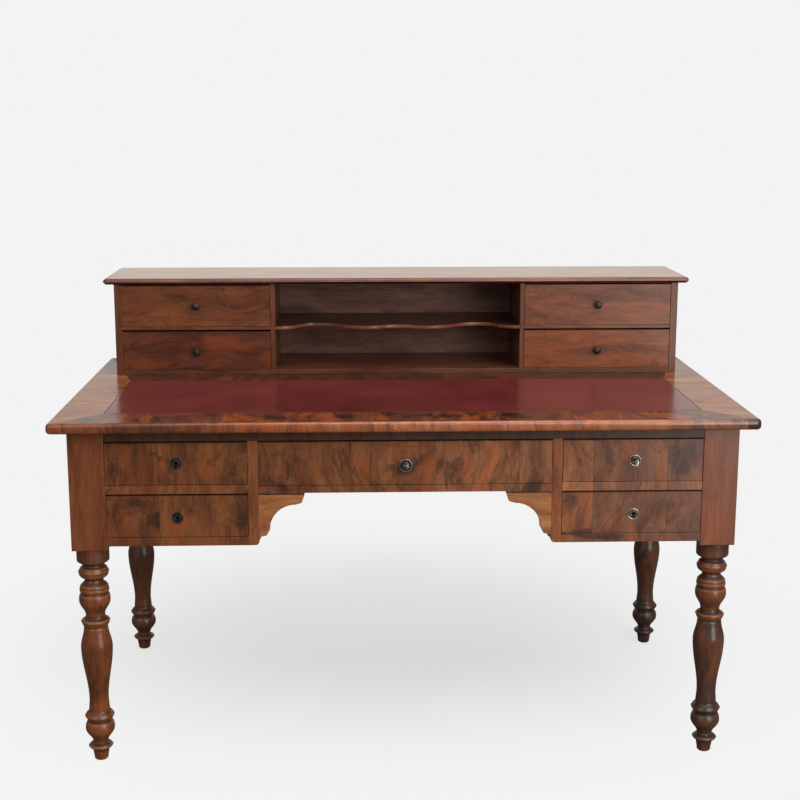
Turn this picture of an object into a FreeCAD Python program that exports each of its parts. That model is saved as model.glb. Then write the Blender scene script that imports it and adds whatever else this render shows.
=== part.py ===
import FreeCAD, Part
import math
import os
from types import SimpleNamespace

from FreeCAD import Vector

# Writing desk on four turned legs, with five drawers in its apron and a
# set-back gallery of four small drawers and two open compartments.
# X runs along the desk, Y from its front to its back, Z up. The origin is
# on the floor under the middle of the desk. All sizes are millimetres.

# Overall sizes
desk_width = 1500.0
desk_depth = 820.0
desktop_height = 780.0
gallery_height = 238.0

# Desktop board and its leather
top_thickness = 22.0
top_corner_radius = 12.0
top_upper_round = 8.0
top_lower_bevel = 4.0
side_overhang = 35.0
front_overhang = 45.0
back_overhang = 25.0
leather_side_border = 104.0
leather_front_border = 105.0
leather_back_border = 80.0
leather_thickness = 1.5
leather_edge_gap = 0.3

# Square posts of the legs
post_size = 76.0
post_drop = 10.0

# Turning of the legs, from the post down
collar_radius = 34.5
collar_height = 28.0
collar_bevel = 4.5
neck_radius = 22.7
top_neck_height = 11.5
bead_height = 5.0
bead_radius = 26.5
ring_radius = 32.8
top_ring_height = 18.0
middle_neck_height = 14.0
second_ring_height = 12.0
egg_height = 51.0
egg_radius = 33.4
egg_top_radius = 31.3
egg_neck_height = 17.0
disc_height = 12.0
disc_radius = 32.4
baluster_top_radius = 26.6
shoulder_height = 57.0
belly_radius = 35.0

# Turning of the legs, from the floor up
foot_tip_radius = 13.0
foot_radius = 17.5
foot_height = 22.0
ankle_ring_height = 14.0
ankle_ring_radius = 26.2
ankle_radius = 19.0
ankle_height = 11.0
foot_ball_height = 46.0
foot_ball_radius = 31.6
foot_ball_top_radius = 26.5
foot_ring_height = 14.0
foot_ring_radius = 31.2
baluster_foot_radius = 24.0
waist_height = 33.0
waist_radius = 21.3

# How finely the turning is cut, where its swellings are thickest, and how
# much of a ring's height its eased edges take
leg_facets = 14
swell_chords = 2
waist_chords = 2
belly_chords = 4
shoulder_chords = 3
ball_peak_share = 0.52
egg_peak_share = 0.62
ring_ease_share = 0.25

# Rails, dividers and apron boards
rail_depth = 45.0
top_rail_height = 26.0
middle_rail_height = 19.0
bottom_rail_height = 19.0
knee_rail_height = 20.0
knee_rail_relief = 4.0
drawer_opening_height = 96.0
centre_opening_height = 99.0
side_opening_width = 303.0
divider_width = 22.0
divider_corner_radius = 8.0
apron_thickness = 22.0
apron_set_in = 4.0
partition_thickness = 16.0

# Tenons
tenon_length = 25.0
stub_tenon_length = 8.0
tenon_thickness = 12.0
tenon_set_back = 12.0
tenon_shoulder = 3.5
apron_tenon_shoulder = 18.0

# Brackets in the corners of the kneehole
bracket_thickness = 20.0
bracket_nose_height = 18.0
bracket_nose_slant = 6.0
bracket_lip_width = 14.0
bracket_lip_height = 4.0
bracket_cove_radius = 55.0
bracket_step_height = 13.0
bracket_step_width = 7.0
bracket_toe_height = 3.0
bracket_toe_width = 16.0

# Desk drawers
front_thickness = 20.0
front_lap = 6.0
side_gap = 1.0
lower_gap = 1.5
upper_gap = 2.5
running_gap = 0.3
drawer_back_space = 124.0
drawer_side_thickness = 12.0
drawer_side_drop = 6.0
drawer_back_drop = 4.0
drawer_bottom_thickness = 6.0
drawer_bottom_rise = 9.0
drawer_groove_depth = 5.0
pin_width = 8.0
pin_slope_share = 0.18
desk_tail_count = 3
desk_pin_count = 2

# Runners, guides, kickers and stops
runner_width = 24.0
guide_height = 13.0
guide_width = 16.0
kicker_width = 40.0
stop_length = 30.0
stop_depth = 14.0
stop_height = 6.0
stop_inset = 50.0
stop_gap = 0.3

# Locks
lock_width = 56.0
lock_drop = 17.0
lock_depth = 10.0
lock_wall = 1.5
selvage_width = 68.0
selvage_thickness = 2.0
selvage_depth = 12.0
right_lock_offset = 4.0
lower_lock_drop = 4.0
keyhole_radius = 3.2
keyhole_slot_width = 3.4
keyhole_slot_length = 9.0
keyhole_facets = 12
chamber_reach = 9.5
drill_pin_radius = 1.1
drill_pin_facets = 6
bolt_width = 14.0
bolt_thickness = 4.0
bolt_throw = 7.0
bolt_sink = 0.5
bolt_foot_height = 10.5
bolt_play = 0.4
bolt_mortise_play = 1.5
escutcheon_radius = 12.5
escutcheon_height = 1.6
escutcheon_bevel = 0.9
escutcheon_facets = 16

# Key of the right upper drawer
key_barrel_radius = 2.7
key_bore_radius = 1.5
key_facets = 10
key_tip_gap = 0.5
key_bit_reach = 8.2
key_bit_thickness = 2.4
key_bit_length = 4.0
key_collar_radius = 4.2
key_collar_length = 2.5
key_reach = 13.4
key_bow_height = 24.0
key_bow_length = 18.0
key_bow_thickness = 3.2
key_bow_rim = 3.8
key_bow_sag = 1.5

# Knob of the centre drawer
centre_knob_drop = 6.0
rose_radius = 14.6
rose_edge_height = 2.0
rose_lip_radius = 12.4
rose_lip_height = 3.2
rose_dish_height = 2.0
knob_stem_radius = 5.0
knob_stem_height = 10.0
knob_head_radius = 8.8
knob_head_foot = 12.0
knob_head_shoulder = 16.0
knob_crown_radius = 6.2
knob_crown_height = 18.5
knob_tip_radius = 2.4
knob_height = 20.0
knob_facets = 16

# Knobs of the gallery drawers
small_knob_foot_radius = 6.2
small_knob_foot_height = 2.0
small_knob_stem_radius = 4.2
small_knob_stem_height = 6.5
small_knob_head_radius = 9.0
small_knob_head_foot = 10.5
small_knob_shoulder_height = 14.0
small_knob_crown_radius = 6.4
small_knob_crown_height = 16.8
small_knob_tip_radius = 2.6
small_knob_height = 18.0
small_knob_facets = 12
spigot_radius = 3.0
spigot_length = 9.0

# Gallery
gallery_side_inset = 59.0
gallery_end_overhang = 25.0
gallery_front_overhang = 12.0
gallery_depth = 252.0
gallery_top_thickness = 14.0
gallery_top_round = 8.5
gallery_side_thickness = 17.0
gallery_bottom_thickness = 12.0
gallery_back_thickness = 10.0
gallery_back_rebate = 9.0
gallery_shelf_thickness = 8.0
gallery_lower_opening = 99.0
gallery_opening_width = 362.0
gallery_divider_thickness = 11.0
side_housing_depth = 5.0
divider_housing_depth = 3.0
housing_shoulder = 12.0
scallop_depth = 58.0
centre_dip_depth = 22.0
shelf_point_inset = 1.0
scallop_place_share = 0.7
point_place_share = 0.26

# Gallery drawers
gallery_front_thickness = 15.0
gallery_front_lap = 5.0
gallery_lower_gap = 1.0
gallery_upper_gap = 3.5
gallery_back_gap = 0.3
gallery_drawer_side = 8.0
gallery_drawer_bottom = 4.0
gallery_bottom_rise = 5.0
gallery_groove_depth = 3.0
gallery_pin_width = 6.0
gallery_tail_count = 2
gallery_pin_count = 1
lower_knob_drop = 3.0

# Play between glued or seated pieces, and how far a cutting shape passes
# the face that it cuts
joint_play = 0.1
overrun = 2.0

# Places that follow from the sizes above
half_width = desk_width / 2
half_depth = desk_depth / 2
apron_top = desktop_height - top_thickness
top_rail_foot = apron_top - top_rail_height
upper_opening_foot = top_rail_foot - drawer_opening_height
lower_opening_top = upper_opening_foot - middle_rail_height
lower_opening_foot = lower_opening_top - drawer_opening_height
apron_foot = lower_opening_foot - bottom_rail_height
post_foot = apron_foot - post_drop
knee_rail_top = top_rail_foot - centre_opening_height
knee_rail_foot = knee_rail_top - knee_rail_height
case_half = half_width - side_overhang
case_front = front_overhang - half_depth
case_back = half_depth - back_overhang
post_inner = case_half - post_size
front_post_back = case_front + post_size
back_post_front = case_back - post_size
rail_back = case_front + rail_depth
divider_outer = post_inner - side_opening_width
divider_inner = divider_outer - divider_width
partition_outer = divider_inner + partition_thickness
apron_outer = case_half - apron_set_in
apron_inner = apron_outer - apron_thickness
back_apron_back = case_back - apron_set_in
back_apron_front = back_apron_back - apron_thickness
drawer_centre = (post_inner + divider_outer) / 2
front_back = case_front + front_thickness
gallery_front = half_depth - gallery_depth
gallery_outer = half_width - gallery_side_inset
gallery_inner = gallery_outer - gallery_side_thickness
gallery_floor = desktop_height + gallery_bottom_thickness
gallery_shelf_foot = gallery_floor + gallery_lower_opening
gallery_shelf_top = gallery_shelf_foot + gallery_shelf_thickness
gallery_top = desktop_height + gallery_height
gallery_top_foot = gallery_top - gallery_top_thickness
gallery_back_front = half_depth - gallery_back_thickness
gallery_divider_outer = gallery_inner - gallery_opening_width
gallery_divider_inner = gallery_divider_outer - gallery_divider_thickness
gallery_drawer_centre = (gallery_inner + gallery_divider_outer) / 2
bracket_tip = (divider_inner - bracket_nose_slant - bracket_lip_width - bracket_cove_radius
               - bracket_step_width - bracket_toe_width)
desk_floors = {"lower": lower_opening_foot, "upper": upper_opening_foot}
lock_x = {"left": -drawer_centre, "right": drawer_centre + right_lock_offset}
lock_z = {
    "lower": lower_opening_foot + (lower_gap + drawer_opening_height - upper_gap) / 2 - lower_lock_drop,
    "upper": upper_opening_foot + (lower_gap + drawer_opening_height - upper_gap) / 2}
centre_knob_z = (knee_rail_top + (lower_gap + centre_opening_height - upper_gap) / 2
                 - centre_knob_drop)


def block(x0, x1, y0, y1, z0, z1):
    return Part.makeBox(x1 - x0, y1 - y0, z1 - z0, Vector(x0, y0, z0))


def grown(limits, play):
    x0, x1, y0, y1, z0, z1 = limits
    return block(x0 - play, x1 + play, y0 - play, y1 + play, z0 - play, z1 + play)


def face_through(corners):
    return Part.Face(Part.makePolygon(corners + corners[:1]))


def both_ways(limits):
    """The same box on the right and on the left."""
    x0, x1, y0, y1, z0, z1 = limits
    return [limits, (-x1, -x0, y0, y1, z0, z1)]


def mirrored(shape):
    return shape.mirror(Vector(0, 0, 0), Vector(1, 0, 0))


def pair(shape):
    return Part.makeCompound([shape, mirrored(shape)])


def joined(body, additions):
    return body.fuse(additions).removeSplitter()


def turned(outline, facets):
    """A turning on the Z axis, cut in fine flats.

    outline lists the radius and the height of each ring, from the foot up.
    """
    rings = []
    for radius, height in outline:
        turns = [math.tau * (index + 1 / 2) / facets for index in range(facets)]
        rings.append([Vector(radius * math.cos(turn), radius * math.sin(turn), height) for turn in turns])
    faces = [face_through(rings[0]), face_through(rings[-1])]
    for lower, upper in zip(rings, rings[1:]):
        for index in range(facets):
            faces.append(face_through([lower[index - 1], lower[index], upper[index], upper[index - 1]]))
    solid = Part.Solid(Part.Shell(faces))
    if solid.Volume < 0:
        solid.reverse()
    return solid


def facing_front(solid, x, y, z):
    """Turns a solid from upright to point forward from a place."""
    return solid.rotated(Vector(0, 0, 0), Vector(1, 0, 0), 90).translated(Vector(x, y, z))


def peg(x, y_front, y_back, z, radius, facets):
    """A rod or bore from y_back forward to y_front."""
    return facing_front(turned([(radius, 0), (radius, y_back - y_front)], facets), x, y_back, z)


# Desktop: one board with its front corners, top and under edges rounded,
# and a shallow recess for the leather.

def moulded_board(x_half, y_front, z_foot, z_top, corner, upper_round, lower_bevel):
    """A board up to the back of the desk, moulded along its front and ends."""
    board = block(-x_half, x_half, y_front, half_depth, z_foot, z_top)

    def on_back(edge):
        return edge.BoundBox.YMin > half_depth - upper_round

    if corner:
        uprights = [edge for edge in board.Edges if edge.BoundBox.ZLength > upper_round]
        board = board.makeFillet(corner, [edge for edge in uprights if not on_back(edge)])
    rim = [edge for edge in board.Edges if edge.BoundBox.ZMin > z_top - upper_round]
    board = board.makeFillet(upper_round, [edge for edge in rim if not on_back(edge)])
    if lower_bevel:
        rim = [edge for edge in board.Edges if edge.BoundBox.ZMax < z_foot + lower_bevel]
        board = board.makeChamfer(lower_bevel, [edge for edge in rim if not on_back(edge)])
    return board


def leather_limits(gap, rise):
    return (leather_side_border - half_width + gap, half_width - leather_side_border - gap,
            leather_front_border - half_depth + gap, gallery_front - leather_back_border - gap,
            desktop_height - leather_thickness, desktop_height + rise)


def desktop():
    board = moulded_board(half_width, -half_depth, apron_top, desktop_height,
                          top_corner_radius, top_upper_round, top_lower_bevel)
    return board.cut(block(*leather_limits(0, overrun)))


# Tenons: the boxes that stand out of the rails and boards, and their
# mortises, which are the same boxes with a little play.

rail_tenon_y = (case_front + tenon_set_back, case_front + tenon_set_back + tenon_thickness)
apron_middle = (apron_inner + apron_outer) / 2
apron_tenon_x = (apron_middle - tenon_thickness / 2, apron_middle + tenon_thickness / 2)
back_apron_middle = (back_apron_front + back_apron_back) / 2
back_tenon_y = (back_apron_middle - tenon_thickness / 2, back_apron_middle + tenon_thickness / 2)


def rail_tenon(x0, x1, foot, top):
    return (x0, x1, *rail_tenon_y, foot + tenon_shoulder, top - tenon_shoulder)


top_rail_tenon = rail_tenon(post_inner, post_inner + tenon_length, top_rail_foot, apron_top)
middle_rail_tenon = rail_tenon(post_inner, post_inner + tenon_length, lower_opening_top, upper_opening_foot)
bottom_rail_tenon = rail_tenon(post_inner, post_inner + tenon_length, apron_foot, lower_opening_foot)
middle_rail_stub = rail_tenon(divider_outer - stub_tenon_length, divider_outer,
                              lower_opening_top, upper_opening_foot)
bottom_rail_stub = rail_tenon(divider_outer - stub_tenon_length, divider_outer,
                              apron_foot, lower_opening_foot)
knee_rail_stub = rail_tenon(divider_inner, divider_inner + stub_tenon_length,
                            knee_rail_foot + knee_rail_relief, knee_rail_top)
divider_stub = (divider_inner + tenon_shoulder, divider_outer - tenon_shoulder, *rail_tenon_y,
                top_rail_foot, top_rail_foot + stub_tenon_length)
side_apron_front_tenon = (*apron_tenon_x, front_post_back - tenon_length, front_post_back,
                          apron_foot + apron_tenon_shoulder, apron_top - apron_tenon_shoulder)
side_apron_back_tenon = (*apron_tenon_x, back_post_front, back_post_front + tenon_length,
                         apron_foot + apron_tenon_shoulder, apron_top - apron_tenon_shoulder)
back_apron_tenon = (post_inner, post_inner + tenon_length, *back_tenon_y,
                    apron_foot + apron_tenon_shoulder, apron_top - apron_tenon_shoulder)


# Legs: each is one piece, square at the top and turned below. The outline
# of the turning is drawn from the floor up.

def turning_outline():
    outline = [(foot_tip_radius, 0)]

    def straight(radius, height):
        outline.append((radius, outline[-1][1] + height))

    def ring(radius, end_radius, height):
        """Stands out to radius, and goes back to end_radius."""
        foot = outline[-1][1]
        ease = height * ring_ease_share
        outline.append((radius, foot + ease))
        outline.append((radius, foot + height - ease))
        outline.append((end_radius, foot + height))

    def wave(radius, height, chords):
        """Sweeps from the last radius to the next with no corner at its ends."""
        start, foot = outline[-1]
        for chord in range(1, chords + 1):
            blend = (1 - math.cos(math.pi * chord / chords)) / 2
            outline.append((start + (radius - start) * blend, foot + height * chord / chords))

    def swell(radius, end_radius, height, peak_share):
        """Bulges to radius, and back to end_radius, in two quarter ovals."""
        start, foot = outline[-1]
        rise = height * peak_share
        for chord in range(1, swell_chords + 1):
            turn = math.pi / 2 * chord / swell_chords
            outline.append((start + (radius - start) * math.sin(turn), foot + rise * (1 - math.cos(turn))))
        for chord in range(1, swell_chords + 1):
            turn = math.pi / 2 * chord / swell_chords
            outline.append((end_radius + (radius - end_radius) * math.cos(turn),
                            foot + rise + (height - rise) * math.sin(turn)))

    straight(foot_radius, foot_height)
    ring(ankle_ring_radius, ankle_radius, ankle_ring_height)
    straight(ankle_radius, ankle_height)
    swell(foot_ball_radius, foot_ball_top_radius, foot_ball_height, ball_peak_share)
    ring(foot_ring_radius, baluster_foot_radius, foot_ring_height)
    wave(waist_radius, waist_height, waist_chords)
    upper_turnings = (shoulder_height + disc_height + egg_neck_height + egg_height + second_ring_height
                      + bead_height + middle_neck_height + top_ring_height + bead_height
                      + top_neck_height + collar_bevel + collar_height)
    wave(belly_radius, post_foot - upper_turnings - outline[-1][1], belly_chords)
    wave(baluster_top_radius, shoulder_height, shoulder_chords)
    ring(disc_radius, neck_radius, disc_height)
    straight(neck_radius, egg_neck_height)
    swell(egg_radius, egg_top_radius, egg_height, egg_peak_share)
    ring(ring_radius, bead_radius, second_ring_height)
    straight(neck_radius, bead_height)
    straight(neck_radius, middle_neck_height)
    ring(ring_radius, bead_radius, top_ring_height)
    straight(neck_radius, bead_height)
    straight(neck_radius, top_neck_height)
    straight(collar_radius, collar_bevel)
    straight(collar_radius, collar_height)
    return outline


def leg(y_front, tenons):
    """The right leg whose post stands behind y_front."""
    centre = Vector(case_half - post_size / 2, y_front + post_size / 2, 0)
    post = block(post_inner, case_half, y_front, y_front + post_size, post_foot, apron_top)
    whole = joined(post, [turned(turning_outline(), leg_facets).translated(centre)])
    return whole.cut([grown(tenon, joint_play) for tenon in tenons])


# Rails, dividers and brackets of the front

def board_with_tenons(body, tenons):
    return joined(block(*body), [block(*tenon) for tenon in tenons])


def bolt_mortise(x, foot):
    """The hole over a lock into which its bolt is thrown."""
    half = bolt_width / 2 + bolt_mortise_play
    middle = front_back - lock_depth / 2
    depth = bolt_thickness / 2 + bolt_mortise_play
    return block(x - half, x + half, middle - depth, middle + depth,
                 foot - overrun, foot + bolt_throw + bolt_mortise_play)


def top_rail():
    body = (-post_inner, post_inner, case_front, rail_back, top_rail_foot, apron_top)
    rail = board_with_tenons(body, both_ways(top_rail_tenon))
    hollows = [grown(stub, joint_play) for stub in both_ways(divider_stub)]
    hollows += [bolt_mortise(x, top_rail_foot) for x in lock_x.values()]
    return rail.cut(hollows)


def middle_rail(lock_x):
    body = (divider_outer, post_inner, case_front, rail_back, lower_opening_top, upper_opening_foot)
    rail = board_with_tenons(body, [middle_rail_tenon, middle_rail_stub])
    return rail.cut(bolt_mortise(lock_x, lower_opening_top))


def bottom_rail():
    body = (divider_outer, post_inner, case_front, rail_back, apron_foot, lower_opening_foot)
    return board_with_tenons(body, [bottom_rail_tenon, bottom_rail_stub])


def knee_rail():
    body = (-divider_inner, divider_inner, case_front, rail_back, knee_rail_foot, knee_rail_top)
    rail = board_with_tenons(body, both_ways(knee_rail_stub))
    return rail.cut(block(-bracket_tip, bracket_tip, case_front - overrun, rail_back + overrun,
                          knee_rail_foot - overrun, knee_rail_foot + knee_rail_relief))


def divider():
    body = block(divider_inner, divider_outer, case_front, rail_back, apron_foot, top_rail_foot)
    corner = [edge for edge in body.Edges
              if edge.BoundBox.XMax < divider_outer - overrun
              and edge.BoundBox.ZMax < apron_foot + overrun
              and edge.BoundBox.YLength > rail_depth - overrun]
    body = joined(body.makeFillet(divider_corner_radius, corner), [block(*divider_stub)])
    mortises = [middle_rail_stub, bottom_rail_stub, knee_rail_stub]
    return body.cut([grown(stub, joint_play) for stub in mortises])


def bracket():
    """A cove cut out of a small board, with a nose above and a toe below."""
    nose = Vector(bracket_tip + bracket_nose_slant, case_front, knee_rail_foot - bracket_nose_height)
    lip = nose + Vector(bracket_lip_width, 0, -bracket_lip_height)
    hollow = lip + Vector(0, 0, -bracket_cove_radius)
    reach = bracket_cove_radius * math.cos(math.tau / 8)
    cove_end = hollow + Vector(bracket_cove_radius, 0, 0)
    step = cove_end + Vector(bracket_step_width, 0, -bracket_step_height)
    toe = step + Vector(bracket_toe_width, 0, -bracket_toe_height)
    top_inner = Vector(bracket_tip, case_front, knee_rail_foot)
    top_outer = Vector(divider_inner, case_front, knee_rail_foot)
    cove = Part.Arc(lip, hollow + Vector(reach, 0, reach), cove_end).toShape()
    edges = Part.makePolygon([cove_end, step, toe, top_outer, top_inner, nose, lip]).Edges
    return Part.Face(Part.Wire([cove] + edges)).extrude(Vector(0, bracket_thickness, 0))


# Apron boards, partitions, runners with their guides, kickers and stops

def side_apron():
    body = (apron_inner, apron_outer, front_post_back, back_post_front, apron_foot, apron_top)
    return board_with_tenons(body, [side_apron_front_tenon, side_apron_back_tenon])


def back_apron():
    body = (-post_inner, post_inner, back_apron_front, back_apron_back, apron_foot, apron_top)
    return board_with_tenons(body, both_ways(back_apron_tenon))


def partition():
    return block(divider_inner, partition_outer, rail_back, back_apron_front, apron_foot, apron_top)


def outer_runner(top):
    """Lies beside the posts and on the side apron, under a guide strip."""
    foot = top - middle_rail_height
    rail = block(post_inner - runner_width, post_inner, rail_back, back_apron_front, foot, top)
    wing = block(post_inner, apron_inner, front_post_back, back_post_front, foot, top)
    guide = block(post_inner, post_inner + guide_width, front_post_back, back_post_front,
                  top, top + guide_height)
    return [joined(rail, [wing]), guide]


def inner_runner(top):
    foot = top - middle_rail_height
    rail = block(partition_outer, divider_outer + runner_width, rail_back, back_apron_front, foot, top)
    guide = block(partition_outer, divider_outer, rail_back, back_apron_front, top, top + guide_height)
    return [rail, guide]


def centre_runner():
    return block(divider_inner - runner_width, divider_inner, rail_back, back_apron_front,
                 knee_rail_foot, knee_rail_top)


def kicker(x):
    return block(x - kicker_width / 2, x + kicker_width / 2, rail_back, back_apron_front,
                 top_rail_foot, apron_top)


def stops(x0, x1, top):
    """Two blocks on a rail, close behind a shut drawer front."""
    near = front_back + stop_gap
    starts = (x0 + stop_inset, x1 - stop_inset - stop_length)
    return [block(x, x + stop_length, near, near + stop_depth, top, top + stop_height) for x in starts]


# Drawers: sides dovetailed to the front and to the back, and a bottom in
# grooves that passes under the back.

desk_make = SimpleNamespace(
    front=front_thickness, lap=front_lap, side=drawer_side_thickness, bottom=drawer_bottom_thickness,
    rise=drawer_bottom_rise, groove=drawer_groove_depth, pin=pin_width,
    tails=desk_tail_count, back_pins=desk_pin_count)
gallery_make = SimpleNamespace(
    front=gallery_front_thickness, lap=gallery_front_lap, side=gallery_drawer_side,
    bottom=gallery_drawer_bottom, rise=gallery_bottom_rise, groove=gallery_groove_depth,
    pin=gallery_pin_width, tails=gallery_tail_count, back_pins=gallery_pin_count)


def pin(x0, x1, root, end, middle, width):
    """The wedge between two tails, wider at its root than at its end."""
    narrow = width / 2
    wide = narrow + abs(end - root) * pin_slope_share
    profile = face_through([Vector(x0, root, middle - wide), Vector(x0, end, middle - narrow),
                            Vector(x0, end, middle + narrow), Vector(x0, root, middle + wide)])
    return profile.extrude(Vector(x1 - x0, 0, 0))


def drawer(x0, x1, y_front, y_back, floor, front_foot, front_top, make):
    """The front, and the box of two sides, back and bottom, of one drawer."""
    front_inside = y_front + make.front
    back_inside = y_back - make.side
    foot = floor + running_gap
    side_top = front_top - drawer_side_drop
    back_top = side_top - drawer_back_drop
    bottom_top = floor + make.rise + make.bottom
    bottom_limits = (x0 + make.side - make.groove, x1 - make.side + make.groove,
                     front_inside - make.groove, y_back, floor + make.rise, bottom_top)
    front_pitch = (side_top - foot) / make.tails
    back_pitch = (back_top - bottom_top) / make.back_pins
    front_middles = [foot + front_pitch * index for index in range(make.tails + 1)]
    back_middles = [bottom_top + back_pitch * (index + 1 / 2) for index in range(make.back_pins)]

    def front_pins(width):
        return [pin(x0, x1, front_inside, y_front + make.lap, middle, width) for middle in front_middles]

    def back_pins(play):
        return [pin(x0, x1, back_inside - play, y_back, middle, make.pin + play * 2)
                for middle in back_middles]

    sides = []
    sockets = []
    for near in (x0, x1 - make.side):
        limits = (near, near + make.side, y_front + make.lap, y_back, foot, side_top)
        board = block(*limits).cut(front_pins(make.pin + joint_play * 2))
        sides.append(board.cut(back_pins(joint_play) + [grown(bottom_limits, joint_play)]))
        sockets.append(grown(limits, joint_play).cut(front_pins(make.pin)))
    back = joined(block(x0 + make.side, x1 - make.side, back_inside, y_back,
                        bottom_top + joint_play, back_top), back_pins(0))
    front = block(x0, x1, y_front, front_inside, front_foot, front_top)
    front = front.cut(sockets + [grown(bottom_limits, joint_play)])
    return front, Part.makeCompound(sides + [back, block(*bottom_limits)])


def desk_drawer(x0, x1, floor, top):
    return drawer(x0 + side_gap, x1 - side_gap, case_front, back_apron_front - drawer_back_space, floor,
                  floor + lower_gap, top - upper_gap, desk_make)


def gallery_drawer(floor, top):
    return drawer(gallery_divider_outer + side_gap, gallery_inner - side_gap, gallery_front,
                  gallery_back_front - gallery_back_gap, floor, floor + gallery_lower_gap,
                  top - gallery_upper_gap, gallery_make)


# Locks: a case let into the back of the drawer front under a selvage
# plate, with a drill pin, a bolt and a round escutcheon on the front.

def keyhole(x, z, y_front, y_back):
    slot = block(x - keyhole_slot_width / 2, x + keyhole_slot_width / 2, y_front, y_back,
                 z - keyhole_slot_length, z)
    return peg(x, y_front, y_back, z, keyhole_radius, keyhole_facets).fuse(slot)


def lock_outside(x, z, top):
    case = block(x - lock_width / 2, x + lock_width / 2, front_back - lock_depth, front_back,
                 z - lock_drop, top)
    selvage = block(x - selvage_width / 2, x + selvage_width / 2, front_back - selvage_depth,
                    front_back, top - selvage_thickness, top)
    return joined(case, [selvage])


def bolt_limits(x, z, top):
    middle = front_back - lock_depth / 2
    return (x - bolt_width / 2, x + bolt_width / 2, middle - bolt_thickness / 2,
            middle + bolt_thickness / 2, z + bolt_foot_height, top - bolt_sink)


def lock_case(x, z, top):
    case_front_face = front_back - lock_depth
    x0, x1, y0, y1, foot = bolt_limits(x, z, top)[:5]
    bolt_way = grown((x0, x1, y0, y1, foot, top), bolt_play)
    chamber = block(x - chamber_reach, x + chamber_reach, case_front_face + lock_wall,
                    front_back - lock_wall, z - chamber_reach, foot)
    entry = keyhole(x, z, case_front_face - overrun, case_front_face + lock_wall + overrun)
    pin_of_lock = peg(x, case_front_face, front_back - lock_wall, z, drill_pin_radius, drill_pin_facets)
    return joined(lock_outside(x, z, top).cut([chamber, bolt_way, entry]), [pin_of_lock])


def escutcheon(x, z):
    outline = [(escutcheon_radius, 0), (escutcheon_radius, escutcheon_height - escutcheon_bevel),
               (escutcheon_radius - escutcheon_bevel, escutcheon_height)]
    plate = facing_front(turned(outline, escutcheon_facets), x, case_front, z)
    return plate.cut(keyhole(x, z, case_front - escutcheon_height - overrun, case_front + overrun))


def fitted_for_lock(front, x, z, top):
    return front.cut([lock_outside(x, z, top), keyhole(x, z, case_front - overrun, front_back)])


def key(x, z):
    """A pipe key: a bored barrel with its bit, a collar and an oval bow."""
    tip = front_back - lock_wall - key_tip_gap
    collar_back = case_front - escutcheon_height - key_reach
    collar_front = collar_back - key_collar_length
    bow_back = collar_front + key_collar_length / 2
    outline = [(key_barrel_radius, 0), (key_barrel_radius, tip - collar_back),
               (key_collar_radius, tip - collar_back), (key_collar_radius, tip - collar_front)]
    barrel = facing_front(turned(outline, key_facets), x, tip, z)
    bit = block(x - key_bit_thickness / 2, x + key_bit_thickness / 2, tip - key_bit_length, tip,
                z - key_bit_reach, z)
    middle = Vector(x - key_bow_thickness / 2, bow_back - key_bow_length / 2, z - key_bow_sag)
    bow = bow_disc(middle, key_bow_height / 2, key_bow_length / 2).cut(
        bow_disc(middle, key_bow_height / 2 - key_bow_rim, key_bow_length / 2 - key_bow_rim))
    bore = peg(x, case_front, tip + overrun, z, key_bore_radius, drill_pin_facets)
    return joined(barrel, [bit, bow]).cut(bore)


def bow_disc(middle, half_height, half_length):
    """An upright plate with half round ends."""
    lift = Vector(0, 0, half_height - half_length)
    reach = Vector(0, half_length, 0)
    crown = Vector(0, 0, half_height)
    top = Part.Arc(middle + lift - reach, middle + crown, middle + lift + reach).toShape()
    foot = Part.Arc(middle - lift + reach, middle - crown, middle - lift - reach).toShape()
    front = Part.makeLine(middle - lift - reach, middle + lift - reach)
    back = Part.makeLine(middle + lift + reach, middle - lift + reach)
    return Part.Face(Part.Wire([top, back, foot, front])).extrude(Vector(key_bow_thickness, 0, 0))


# Knobs: turned, with a spigot glued into the drawer front

def centre_knob(z):
    outline = [(spigot_radius, -spigot_length), (spigot_radius, 0), (rose_radius, 0),
               (rose_radius, rose_edge_height), (rose_lip_radius, rose_lip_height),
               (knob_head_radius, rose_dish_height), (knob_stem_radius, rose_dish_height),
               (knob_stem_radius, knob_stem_height), (knob_head_radius, knob_head_foot),
               (knob_head_radius, knob_head_shoulder), (knob_crown_radius, knob_crown_height),
               (knob_tip_radius, knob_height)]
    return facing_front(turned(outline, knob_facets), 0, case_front, z)


def gallery_knob(z):
    outline = [(spigot_radius, -spigot_length), (spigot_radius, 0), (small_knob_foot_radius, 0),
               (small_knob_foot_radius, small_knob_foot_height),
               (small_knob_stem_radius, small_knob_stem_height),
               (small_knob_head_radius, small_knob_head_foot),
               (small_knob_head_radius, small_knob_shoulder_height),
               (small_knob_crown_radius, small_knob_crown_height),
               (small_knob_tip_radius, small_knob_height)]
    return facing_front(turned(outline, small_knob_facets), gallery_drawer_centre, gallery_front, z)


def bored_for_knob(front, x, y_front, z, facets):
    return front.cut(peg(x, y_front - overrun, y_front + spigot_length + joint_play, z,
                         spigot_radius + joint_play, facets))


# Gallery: sides rebated for the back panel and the bottom, dividers and
# shelves in stopped housings, and a moulded top board.

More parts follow.
